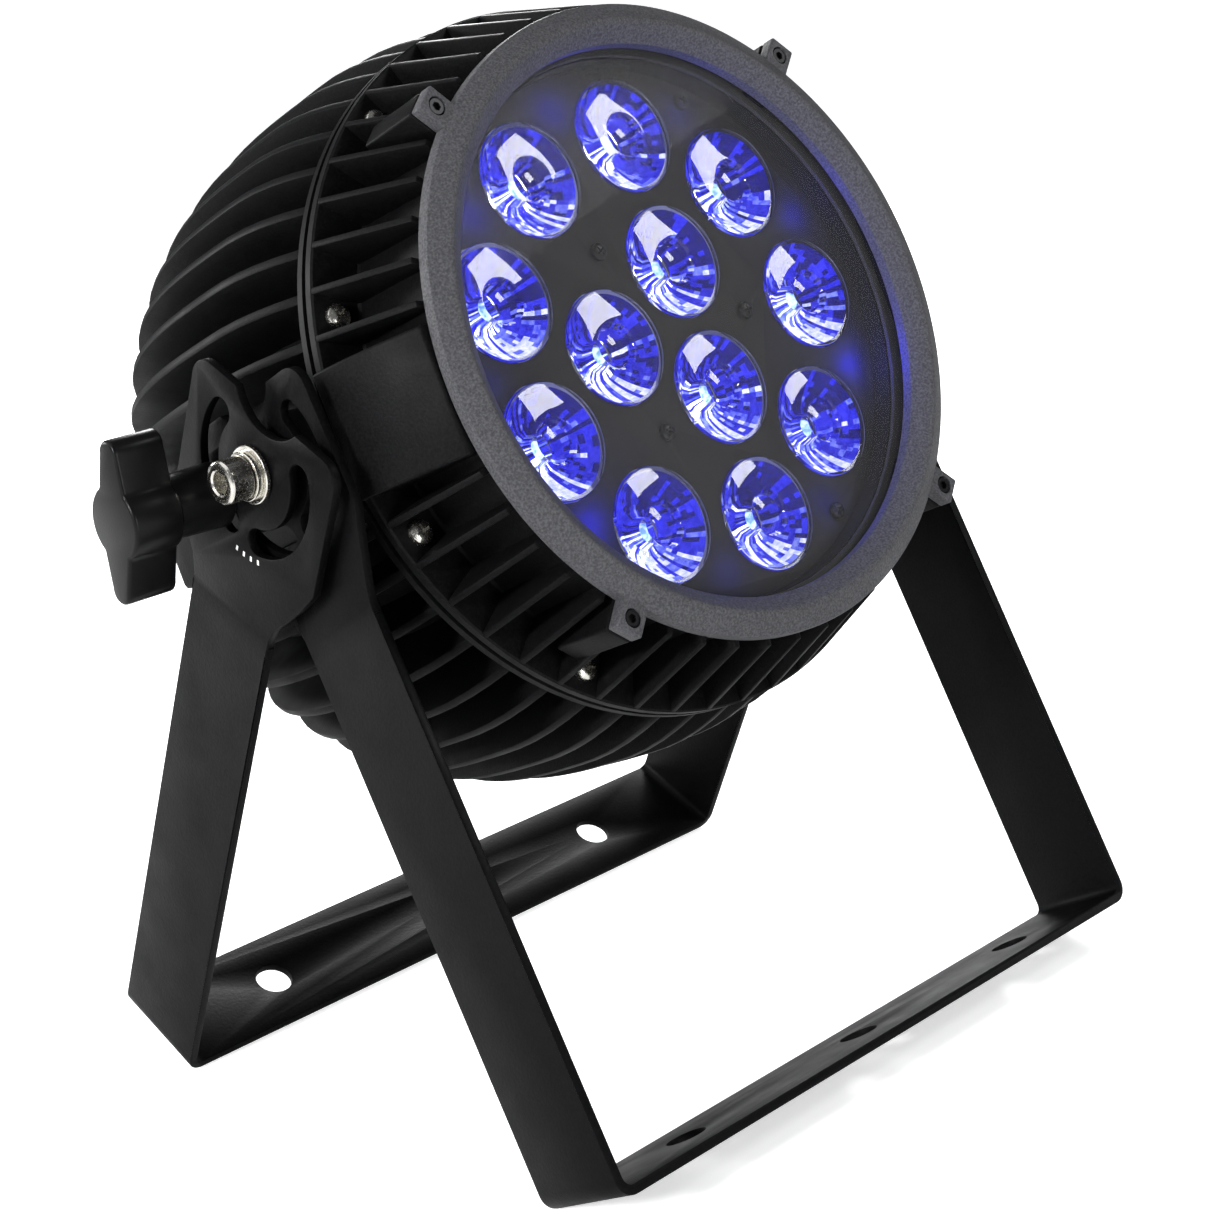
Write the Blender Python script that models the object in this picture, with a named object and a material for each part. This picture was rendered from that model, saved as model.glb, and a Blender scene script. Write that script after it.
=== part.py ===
"""Outdoor LED par can on a scissor yoke.

The lamp head is two finned castings that meet at a sealed seam. The front one
carries the glass, the bezel, the lens plate and the light engine. The rear one
carries the power supply and the control panel. Two U-shaped yokes turn on one
pivot, the inner nested in the outer, and open into an A-frame stand.
Each head piece is modelled in the head's frame: origin on the pivot axis,
+Z along the beam, +X along the pivot, +Y up across the face.
"""
import math

import bmesh
import bpy
from mathutils import Matrix, Vector

MM = 0.001
GAP = 0.3 * MM              # between pieces that touch in the real light
RUN = 0.3 * MM              # round a screw or bolt in its clearance hole

# Pose on the floor
TILT = math.radians(21.0)           # beam above the horizon
FRONT_LEG = math.radians(24.5)      # inner yoke, forward of straight down

# Light engine
LENS_R = 18.4 * MM
LENS_GAP = 7.1 * MM         # between lenses of the outer ring
INNER_GAP = 5.1 * MM        # between lenses of the inner ring
LENS_FACE_Z = 49.6 * MM
LENS_H = 17.0 * MM
LENS_RIM = 2.4 * MM
LENS_WAIST = 5.2 * MM       # how much narrower the lens is at its waist
LENS_SEAT_R = 7.0 * MM
LENS_DIP_R = 7.0 * MM       # hollow in the middle of the face
LENS_DIP = 2.0 * MM
OUTER_RING = [math.radians(120 - 40 * i) for i in range(9)]
INNER_RING = [math.radians(a) for a in (60, -60, 180)]
OUTER_RING_R = (2 * LENS_R + LENS_GAP) / 2 / math.sin(math.pi / len(OUTER_RING))
INNER_RING_R = (2 * LENS_R + INNER_GAP) / 2 / math.sin(math.pi / len(INNER_RING))
PLATE_T = 3.0 * MM
PLATE_DROP = 1.2 * MM       # lens faces stand this far proud of the plate
CHAMBER_R = OUTER_RING_R + LENS_R + 4.4 * MM
BOARD_T = 2.0 * MM
LED_SIZE = 5.0 * MM
LED_H = 1.5 * MM
PLATE_SCREW_R = INNER_RING_R + 9.9 * MM
PLATE_SCREWS = [math.radians(a) for a in (0, 120, 240)]

# Bezel and glass
FACE_Z = 68.3 * MM          # crest of the bezel, ahead of the pivot
LIP_R = CHAMBER_R + 1.2 * MM        # clear opening
CREST_R = LIP_R + 6.0 * MM
BEZEL_R = CREST_R + 6.8 * MM
BEZEL_T = 8.0 * MM
LIP_DROP = 4.4 * MM
RIM_DROP = 3.0 * MM
GLASS_T = 3.0 * MM
GLASS_LAP = 4.8 * MM        # how far the glass runs under the lip
SEAL_T = 1.4 * MM
LUG_W = 9.0 * MM
LUG_R = BEZEL_R + LUG_W / 2         # centre of each lug's hole
LUG_OUT = 4.6 * MM
LUG_ANGLES = [math.radians(a) for a in (45, 132, 228, 315)]
LUG_SINK = 2.4 * MM         # screw seat below the lug's face

# Castings
FINS = 50
SEAM_Z = 23.0 * MM
FLANGE_T = 3.2 * MM
FRONT_ROOT = BEZEL_R - 3.5 * MM     # barrel at the collar
FRONT_TIP = BEZEL_R + 1.8 * MM      # fins at the collar
BARREL_R = FRONT_ROOT + 2.0 * MM    # barrel at the flange
SEAM_R = BARREL_R + 16.3 * MM
FRONT_FIN_T = 2.2 * MM
BULGE_R = SEAM_R + 7.2 * MM
BULGE_Z = -20.0 * MM
DOME_REACH = 118.0 * MM     # from the bulge to where the dome would close
DOME_POWER = 3.0
REAR_Z = -126.0 * MM
REAR_FIN_T = 3.2 * MM
REAR_FIN_DEPTH = 21.0 * MM
CAP_R = BULGE_R - 53.0 * MM
WALL = 4.5 * MM
REAR_WALL = 6.0 * MM
CORE_Z = 14.0 * MM          # back of the plate that carries the light engine
SIDE_FLAT = BULGE_R - 3.5 * MM      # fin tips stop here, inside the yokes
PAD_X = SIDE_FLAT - 18.5 * MM
PAD_HALF = 19.5 * MM
BOSS_R = 15.0 * MM
SEAM_SCREWS = 10
SEAM_SCREW_R = SEAM_R - 7.8 * MM

# Yokes
BAR_T = 3.0 * MM
BAR_W = 38.0 * MM
YOKE_GAP = 3.5 * MM         # between the two yokes, taken up by the spacer
INNER_HALF = SIDE_FLAT + 1.5 * MM + BAR_T       # pivot centre to outer face
OUTER_HALF = INNER_HALF + YOKE_GAP + BAR_T
INNER_LEN = 232.5 * MM      # pivot axis to the outside of the bar
OUTER_LEN = INNER_LEN + BAR_T + 3.2 * MM        # the inner yoke nests in it
BEND_R = 3.0 * MM           # inside of the bend
HEAD_TOP = 22.0 * MM
HEAD_DROP = 22.0 * MM       # head stays full width this far below the pivot
SHOULDER = 46.0 * MM        # where the taper meets the leg
NOTCH_R = 17.0 * MM
NOTCH_DEEP = 14.5 * MM      # notch bottom above the pivot
CLAMP_HOLE_R = 6.5 * MM
CLAMP_PITCH = 80.0 * MM
SLOT_R = 21.5 * MM
INNER_HEAD = SLOT_R + 9.5 * MM      # half width of the head plates
OUTER_HEAD = INNER_HEAD + 3.0 * MM
SLOT_FROM = math.radians(18)
SLOT_TO = math.radians(118)

# Hardware
BOLT_R = 4.0 * MM           # M8 pivot and clamp threads
BOLT_HEAD_R = 6.5 * MM
BOLT_HEAD_H = 8.0 * MM
HEX_AF = 6.0 * MM
WASHER_R = 8.8 * MM
WASHER_T = 3.6 * MM         # flat and spring washer together
SPACER_R = 12.0 * MM
KNOB_HUB_R = 10.0 * MM
KNOB_SPAN = 50.0 * MM
KNOB_DEEP = 17.0 * MM
KNOB_WEB = 8.5 * MM
KNOB_BOSS_R = 11.5 * MM
KNOB_CLEAR = 7.5 * MM       # wings to the pivot bolt's head
KNOB_TURN = math.radians(7.7)

# Back of the head
PANEL_W, PANEL_H, PANEL_T = 88.0 * MM, 44.0 * MM, 3.0 * MM
PANEL_Y = 15.0 * MM
PORT_W, PORT_H = 74.0 * MM, 32.0 * MM
WINDOW_W, WINDOW_H = 40.0 * MM, 13.0 * MM
WINDOW_UP = 7.0 * MM
BUTTON_R = 4.5 * MM
BUTTON_PITCH = 16.0 * MM
BUTTON_DOWN = 10.0 * MM
BUTTON_STAND = 2.0 * MM
BUTTON_TRAVEL = 0.8 * MM
SOCKET_Y = -34.0 * MM
SOCKETS = {"power_in": (-39.0 * MM, 10.5 * MM), "power_out": (-13.0 * MM, 10.5 * MM),
           "data_in": (13.0 * MM, 8.5 * MM), "data_out": (37.0 * MM, 8.5 * MM)}
SOCKET_LEN = 16.0 * MM
SOCKET_DEEP = 9.0 * MM      # the well that takes the plug
EYE_Y = 55.0 * MM
EYE_R = 10.5 * MM
EYE_ROD = 2.6 * MM

# Worked out from the sizes above
BEZEL_BACK = FACE_Z - BEZEL_T
COLLAR_Z = BEZEL_BACK - GAP
GLASS_R = LIP_R + GLASS_LAP
GLASS_BACK = COLLAR_Z - GLASS_T
LEDGE_Z = GLASS_BACK - SEAL_T - 2 * GAP
FLANGE_Z = SEAM_Z + GAP + 0.7 * MM          # back of the front casting
FLANGE_FACE = FLANGE_Z + FLANGE_T
REAR_FACE = SEAM_Z - GAP - 0.7 * MM         # front of the rear casting
REAR_FLANGE = REAR_FACE - FLANGE_T          # back of its flange
BOARD_Z = LENS_FACE_Z - LENS_H - GAP - LED_H - BOARD_T
PEDESTAL_Z = BOARD_Z - GAP
PLATE_Z = LENS_FACE_Z - PLATE_DROP
BOSS_X = INNER_HALF - BAR_T - GAP
STACK_X = OUTER_HALF + GAP                  # first face outside the yokes
HEAD_X = STACK_X + WASHER_T + GAP           # under the bolt head
WING_X = HEAD_X + BOLT_HEAD_H + KNOB_CLEAR
PIVOT_Z = INNER_LEN * math.cos(FRONT_LEG) + BAR_W / 2 * math.sin(FRONT_LEG)
REAR_LEG = (math.atan(BAR_W / 2 / OUTER_LEN)
            + math.acos(PIVOT_Z / math.hypot(OUTER_LEN, BAR_W / 2)))
SLOT_HALF = BOLT_R + 0.35 * MM

for thing in list(bpy.data.objects):
    bpy.data.objects.remove(thing, do_unlink=True)


def empty(name, parent=None, location=(0, 0, 0), turn_x=0.0):
    marker = bpy.data.objects.new(name, None)
    marker.parent = parent
    marker.location = location
    marker.rotation_euler = (turn_x, 0, 0)
    bpy.context.collection.objects.link(marker)
    return marker


def paint(name, colour, roughness, metallic=0.0, alpha=1.0):
    mat = bpy.data.materials.get(name)
    if mat:
        return mat
    mat = bpy.data.materials.new(name)
    mat.use_nodes = True
    shader = mat.node_tree.nodes["Principled BSDF"]
    shader.inputs["Base Color"].default_value = (*colour, 1)
    shader.inputs["Roughness"].default_value = roughness
    shader.inputs["Metallic"].default_value = metallic
    shader.inputs["Alpha"].default_value = alpha
    return mat


def black_paint():
    return paint("black_powder_coat", (0.02, 0.02, 0.022), 0.5, 0.3)


def steel():
    return paint("stainless_steel", (0.62, 0.61, 0.59), 0.25, 1.0)


def plastic():
    return paint("black_nylon", (0.012, 0.012, 0.012), 0.45)


def place(name, bm, mat, parent, location=(0, 0, 0), smooth=35.0):
    """Turn a bmesh into a named object under its parent."""
    bmesh.ops.recalc_face_normals(bm, faces=bm.faces)
    mesh = bpy.data.meshes.new(name)
    bm.to_mesh(mesh)
    bm.free()
    mesh.shade_smooth()
    mesh.set_sharp_from_angle(angle=math.radians(smooth))
    mesh.materials.append(mat)
    piece = bpy.data.objects.new(name, mesh)
    piece.parent = parent
    piece.location = location
    bpy.context.collection.objects.link(piece)
    return piece


def boolean(piece, tool_bm, operation):
    """Cut or join a piece with a guide that stays hidden."""
    tool = place(piece.name + "_" + operation.lower(), tool_bm, black_paint(), piece.parent,
                 piece.location)
    tool.hide_render = True
    tool.display_type = "WIRE"
    step = piece.modifiers.new(operation.title(), "BOOLEAN")
    step.operation = operation
    step.object = tool


def lathe(profile, segments, closed=True, bm=None, move=None):
    """Turn (r, z) points about Z; a radius of 0 is a single point."""
    bm = bm or bmesh.new()
    move = move or Matrix.Identity(4)
    rings = []
    for r, z in profile:
        if r == 0:
            rings.append([bm.verts.new(move @ Vector((0, 0, z)))])
            continue
        turns = [math.tau * i / segments for i in range(segments)]
        rings.append([bm.verts.new(move @ Vector((r * math.cos(a), r * math.sin(a), z))) for a in turns])
    pairs = list(zip(rings, rings[1:])) + ([(rings[-1], rings[0])] if closed else [])
    for low, high in pairs:
        for i in range(segments):
            j = (i + 1) % segments
            corners = [low[i % len(low)], low[j % len(low)], high[j % len(high)], high[i % len(high)]]
            corners = list(dict.fromkeys(corners))
            if len(corners) > 2:
                bm.faces.new(corners)
    return bm


def rod(r, z0, z1, segments, bm=None, move=None):
    return lathe([(0, z0), (r, z0), (r, z1), (0, z1)], segments, False, bm, move)


def along_x(x, y=0.0, z=0.0, side=1):
    """Matrix that lays a +Z shape along +X or -X, starting at the given place."""
    turn = Matrix.Rotation(side * math.pi / 2, 4, "Y")
    return Matrix.Translation((side * x, y, z)) @ turn


def block(low, high, bm=None, turn=0.0):
    """A box between two corners, then turned about Z."""
    bm = bm or bmesh.new()
    centre = [(a + b) / 2 for a, b in zip(low, high)]
    size = [b - a for a, b in zip(low, high)]
    move = (Matrix.Rotation(turn, 4, "Z") @ Matrix.Translation(centre)
            @ Matrix.Diagonal((*size, 1)))
    bmesh.ops.create_cube(bm, size=1.0, matrix=move)
    return bm


def polar(r, angle, z=0.0):
    return Vector((r * math.cos(angle), r * math.sin(angle), z))


def extrude(outline, z0, z1, bm=None, move=None):
    """A prism on a flat outline."""
    bm = bm or bmesh.new()
    move = move or Matrix.Identity(4)
    low = [bm.verts.new(move @ Vector((x, y, z0))) for x, y in outline]
    high = [bm.verts.new(move @ Vector((x, y, z1))) for x, y in outline]
    bm.faces.new(low)
    bm.faces.new(high)
    for i in range(len(outline)):
        j = (i + 1) % len(outline)
        bm.faces.new((low[i], low[j], high[j], high[i]))
    return bm


def arc(cx, cy, r, start, end, steps):
    return [(cx + r * math.cos(start + (end - start) * i / steps),
             cy + r * math.sin(start + (end - start) * i / steps)) for i in range(steps + 1)]


# ---------------------------------------------------------------- castings

def dome_tip(z):
    """Radius of the rear casting's fin tips."""
    if z >= BULGE_Z:
        share = (z - BULGE_Z) / (REAR_FLANGE - BULGE_Z)
        return SEAM_R + (BULGE_R - SEAM_R) * (1 - share ** 2)
    share = (BULGE_Z - z) / DOME_REACH
    return BULGE_R * (1 - share ** DOME_POWER) ** (1 / DOME_POWER)


def dome_root(z):
    return max(dome_tip(z) - REAR_FIN_DEPTH, CAP_R)


def casting_section(tip, root, fin_t, pad_x, foot_r=None):
    """One finned outline, with a flat pad on each side round the pivot."""
    points = []
    foot_r = foot_r or root
    first = math.tau * 2 / FINS - (fin_t / 2 + 0.25 * MM) / foot_r
    half_pad = min(PAD_HALF, foot_r * math.sin(first) - 1 * MM)     # it stays between its fins
    inner = min(math.sqrt(foot_r ** 2 - half_pad ** 2), pad_x - 0.5 * MM)
    for side in (0, 1):
        half = side * math.pi
        flip = 1 - 2 * side
        points += [Vector((flip * x, flip * y)) for x, y in
                   ((inner, -half_pad), (pad_x, -half_pad), (pad_x, half_pad), (inner, half_pad))]
        for k in range(2, FINS // 2 - 1):
            angle = half + math.tau * k / FINS
            foot_half = (fin_t / 2 + 0.25 * MM) / root
            tip_half = fin_t / 2 / tip
            for r, a in ((root, angle - foot_half), (tip, angle - tip_half),
                         (tip, angle + tip_half), (root, angle + foot_half)):
                x, y = r * math.cos(a), r * math.sin(a)
                points.append(Vector((max(-SIDE_FLAT, min(SIDE_FLAT, x)), y)))
    return points


def loft(sections):
    """Skin a stack of (z, outline) sections and cap both ends."""
    bm = bmesh.new()
    rows = [[bm.verts.new((p.x, p.y, z)) for p in outline] for z, outline in sections]
    count = len(rows[0])
    for low, high in zip(rows, rows[1:]):
        for i in range(count):
            j = (i + 1) % count
            bm.faces.new((low[i], low[j], high[j], high[i]))
    bm.faces.new(rows[0])
    bm.faces.new(rows[-1])
    bmesh.ops.remove_doubles(bm, verts=bm.verts, dist=1e-6)
    bmesh.ops.dissolve_degenerate(bm, edges=bm.edges, dist=1e-6)
    return bm


def front_housing(head):
    flange = casting_section(SEAM_R, SEAM_R, FRONT_FIN_T, PAD_X, BARREL_R)
    barrel = casting_section(SEAM_R, BARREL_R, FRONT_FIN_T, PAD_X)
    neck = casting_section(FRONT_TIP, FRONT_ROOT, FRONT_FIN_T, PAD_X)
    body = loft([(FLANGE_Z, flange), (FLANGE_FACE, flange), (FLANGE_FACE, barrel), (COLLAR_Z, neck)])
    piece = place("front_housing", body, black_paint(), head)
    ribs = bmesh.new()
    for angle in LUG_ANGLES:
        block((CHAMBER_R + 3 * MM, -LUG_W / 2, FLANGE_FACE + 8 * MM),
              (LUG_R + LUG_OUT, LUG_W / 2, COLLAR_Z), ribs, angle)
    boolean(piece, ribs, "UNION")
    cut = lathe([(0, FLANGE_Z - 2 * MM), (CHAMBER_R, FLANGE_Z - 2 * MM), (CHAMBER_R, LEDGE_Z),
                 (GLASS_R + GAP, LEDGE_Z), (GLASS_R + GAP, COLLAR_Z + 2 * MM), (0, COLLAR_Z + 2 * MM)],
                48, False)
    for i in range(SEAM_SCREWS):
        spot = Matrix.Translation(polar(SEAM_SCREW_R, seam_screw_angle(i)))
        rod(2 * MM + RUN, FLANGE_Z - 1 * MM, FLANGE_FACE + 1 * MM, 8, cut, spot)
    for angle in LUG_ANGLES:
        rod(1.5 * MM + RUN, COLLAR_Z - 12 * MM, COLLAR_Z + 1 * MM, 8, cut,
            Matrix.Translation(polar(LUG_R, angle)))
    boolean(piece, cut, "DIFFERENCE")
    return piece


def seam_screw_angle(i):
    return math.pi / 2 + math.tau * i / SEAM_SCREWS


def rear_housing(head):
    flange = casting_section(SEAM_R, SEAM_R, REAR_FIN_T, PAD_X, dome_root(REAR_FLANGE))
    sections = [(REAR_FACE, flange), (REAR_FLANGE, flange)]
    steps = 6
    for i in range(steps + 1):
        # closer together where the dome turns in
        z = REAR_FLANGE + (REAR_Z - REAR_FLANGE) * math.sin(math.pi / 2 * i / steps)
        pad_x = min(PAD_X, math.sqrt(dome_tip(z) ** 2 - PAD_HALF ** 2) - 1 * MM)
        sections.append((z, casting_section(dome_tip(z), dome_root(z), REAR_FIN_T, pad_x)))
    piece = place("rear_housing", loft(sections), black_paint(), head)
    pedestal = rod(CHAMBER_R - 1.5 * MM, CORE_Z + 4 * MM, PEDESTAL_Z, 36)
    boolean(piece, pedestal, "UNION")
    bosses = bmesh.new()
    for side in (-1, 1):
        outline = (arc(0, 0, BOSS_R, -math.pi / 2, math.pi / 2, 6)
                   + arc(-SLOT_R, 0, BOSS_R, math.pi / 2, 3 * math.pi / 2, 6))
        move = (Matrix.Translation((side * (PAD_X - 6 * MM), 0, 0)) @ Matrix.Rotation(side * math.pi / 2, 4, "Y")
                @ Matrix.Rotation(math.pi if side > 0 else 0, 4, "Z"))
        extrude(outline, 0, BOSS_X - PAD_X + 6 * MM, bosses, move)
    boolean(piece, bosses, "UNION")
    cavity = [(0, CORE_Z)]
    end = REAR_Z + REAR_WALL
    for i in range(6):
        z = CORE_Z + (end - CORE_Z) * math.sin(math.pi / 2 * i / 5)
        cavity.append((dome_root(z) - WALL, z))
    cavity.append((0, end))
    boolean(piece, lathe(cavity, 36, False), "DIFFERENCE")
    cut = block((-PORT_W / 2, PANEL_Y - PORT_H / 2, REAR_Z - 1 * MM),
                (PORT_W / 2, PANEL_Y + PORT_H / 2, end + 1 * MM))
    for x, r in SOCKETS.values():
        rod(r - 2 * MM + RUN, REAR_Z - 1 * MM, end + 1 * MM, 16, cut, Matrix.Translation((x, SOCKET_Y, 0)))
    rod(3 * MM + RUN, REAR_Z - 1 * MM, end + 1 * MM, 12, cut, Matrix.Translation((0, EYE_Y, 0)))
    rod(5 * MM, CORE_Z - 1 * MM, PEDESTAL_Z + 1 * MM, 12, cut, Matrix.Translation((0, -45 * MM, 0)))
    for i in range(SEAM_SCREWS):
        spot = Matrix.Translation(polar(SEAM_SCREW_R, seam_screw_angle(i)))
        rod(2 * MM + RUN, REAR_FLANGE - 1 * MM, REAR_FACE + 1 * MM, 8, cut, spot)
    depth = BOSS_X - PAD_X + 1.5 * MM
    for side in (-1, 1):
        for z in (0, -SLOT_R):
            rod(BOLT_R + RUN, -depth, 1 * MM, 12, cut, along_x(BOSS_X, 0, z, side))
    boolean(piece, cut, "DIFFERENCE")
    return piece


def seam_parts(head):
    gasket = lathe([(CHAMBER_R + 2 * MM, SEAM_Z - 0.7 * MM), (BARREL_R + 2 * MM, SEAM_Z - 0.7 * MM),
                    (BARREL_R + 2 * MM, SEAM_Z + 0.7 * MM), (CHAMBER_R + 2 * MM, SEAM_Z + 0.7 * MM)], 40)
    place("seam_gasket", gasket, paint("silicone_rubber", (0.03, 0.03, 0.03), 0.8), head)
    under = FLANGE_FACE + GAP
    tail = REAR_FLANGE - 2 * MM
    for i in range(SEAM_SCREWS):
        shape = lathe([(0, tail), (2 * MM, tail), (2 * MM, under), (4 * MM, under), (4 * MM, under + 1.4 * MM),
                       (2.6 * MM, under + 2.8 * MM), (0, under + 2.8 * MM)], 8, False)
        place(f"seam_screw_{i + 1:02d}", shape, steel(), head, polar(SEAM_SCREW_R, seam_screw_angle(i)))


# ---------------------------------------------------------------- bezel and light engine

def bezel_parts(head):
    ring = lathe([(BEZEL_R - 1 * MM, BEZEL_BACK), (BEZEL_R, BEZEL_BACK + 1 * MM),
                  (BEZEL_R, FACE_Z - RIM_DROP - 1 * MM), (BEZEL_R - 1 * MM, FACE_Z - RIM_DROP),
                  (CREST_R, FACE_Z), (LIP_R, FACE_Z - LIP_DROP), (LIP_R, BEZEL_BACK)], 60)
    bezel = place("front_bezel", ring, black_paint(), head)
    lugs = bmesh.new()
    for angle in LUG_ANGLES:
        block((BEZEL_R - 3 * MM, -LUG_W / 2, BEZEL_BACK), (LUG_R + LUG_OUT, LUG_W / 2, FACE_Z - RIM_DROP),
              lugs, angle)
    boolean(bezel, lugs, "UNION")
    holes = bmesh.new()
    head_z = FACE_Z - RIM_DROP - LUG_SINK
    for angle in LUG_ANGLES:
        lathe([(0, BEZEL_BACK - 1 * MM), (1.5 * MM + RUN, BEZEL_BACK - 1 * MM), (1.5 * MM + RUN, head_z - GAP),
               (2.7 * MM + RUN, head_z - GAP), (2.7 * MM + RUN, FACE_Z + 1 * MM), (0, FACE_Z + 1 * MM)],
              8, False, holes, Matrix.Translation(polar(LUG_R, angle)))
    boolean(bezel, holes, "DIFFERENCE")
    for i, angle in enumerate(LUG_ANGLES):
        tail = COLLAR_Z - 10 * MM
        shape = lathe([(0, tail), (1.5 * MM, tail), (1.5 * MM, head_z), (2.7 * MM, head_z),
                       (2.7 * MM, head_z + 2 * MM), (1.3 * MM, head_z + 2 * MM), (1.3 * MM, head_z + 0.8 * MM),
                       (0, head_z + 0.8 * MM)], 8, False)
        place(f"bezel_screw_{i + 1}", shape, paint("black_oxide_steel", (0.03, 0.03, 0.03), 0.35, 0.9),
              head, polar(LUG_R, angle))
    glass = rod(GLASS_R, GLASS_BACK, GLASS_BACK + GLASS_T - GAP, 48)
    place("front_glass", glass, paint("clear_glass", (0.9, 0.95, 0.97), 0.02, 0.0, 0.25), head)
    low = LEDGE_Z + GAP
    seal = lathe([(CHAMBER_R + 0.6 * MM, low), (GLASS_R - 0.4 * MM, low),
                  (GLASS_R - 0.4 * MM, low + SEAL_T), (CHAMBER_R + 0.6 * MM, low + SEAL_T)], 48)
    place("glass_seal", seal, paint("silicone_rubber", (0.03, 0.03, 0.03), 0.8), head)


def lens_spots():
    return ([(OUTER_RING_R, a) for a in OUTER_RING] + [(INNER_RING_R, a) for a in INNER_RING])


def light_engine(head):
    plate = rod(CHAMBER_R - 0.5 * MM, PLATE_Z - PLATE_T, PLATE_Z, 48)
    lens_plate = place("lens_plate", plate, plastic(), head)
    holes = bmesh.new()
    for r, angle in lens_spots():
        rod(LENS_R + GAP, PLATE_Z - PLATE_T - 1 * MM, PLATE_Z + 1 * MM, 16, holes,
            Matrix.Translation(polar(r, angle)))
    for angle in PLATE_SCREWS:
        rod(1.5 * MM + RUN, PLATE_Z - PLATE_T - 1 * MM, PLATE_Z + 1 * MM, 8, holes,
            Matrix.Translation(polar(PLATE_SCREW_R, angle)))
    boolean(lens_plate, holes, "DIFFERENCE")
    foot = LENS_FACE_Z - LENS_H
    rim = LENS_FACE_Z - LENS_RIM
    for i, (r, angle) in enumerate(lens_spots()):
        shape = lathe([(0, foot), (LENS_SEAT_R, foot), (LENS_R - LENS_WAIST, foot + 6.5 * MM), (LENS_R, rim),
                       (LENS_R, LENS_FACE_Z), (LENS_DIP_R, LENS_FACE_Z), (0, LENS_FACE_Z - LENS_DIP)],
                      16, False)
        place(f"lens_{i + 1:02d}", shape, paint("clear_acrylic", (0.92, 0.94, 1.0), 0.03, 0.0, 0.35),
              head, polar(r, angle))
    for i, angle in enumerate(PLATE_SCREWS):
        tail = BOARD_Z + BOARD_T + GAP
        shape = lathe([(0, tail), (1.5 * MM, tail), (1.5 * MM, PLATE_Z + GAP), (2.8 * MM, PLATE_Z + GAP),
                       (2.2 * MM, PLATE_Z + 2 * MM), (0, PLATE_Z + 2 * MM)], 8, False)
        place(f"plate_screw_{i + 1}", shape, paint("black_oxide_steel", (0.03, 0.03, 0.03), 0.35, 0.9),
              head, polar(PLATE_SCREW_R, angle))
    board = rod(CHAMBER_R - 3 * MM, BOARD_Z, BOARD_Z + BOARD_T, 32)
    led_board = place("led_board", board, paint("white_circuit_board", (0.75, 0.75, 0.72), 0.5), head)
    chips = bmesh.new()
    for r, angle in lens_spots():
        p = polar(r, angle)
        block((p.x - LED_SIZE / 2, p.y - LED_SIZE / 2, BOARD_Z + BOARD_T / 2),
              (p.x + LED_SIZE / 2, p.y + LED_SIZE / 2, BOARD_Z + BOARD_T + LED_H), chips)
    boolean(led_board, chips, "UNION")


# ---------------------------------------------------------------- back of the head

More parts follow.
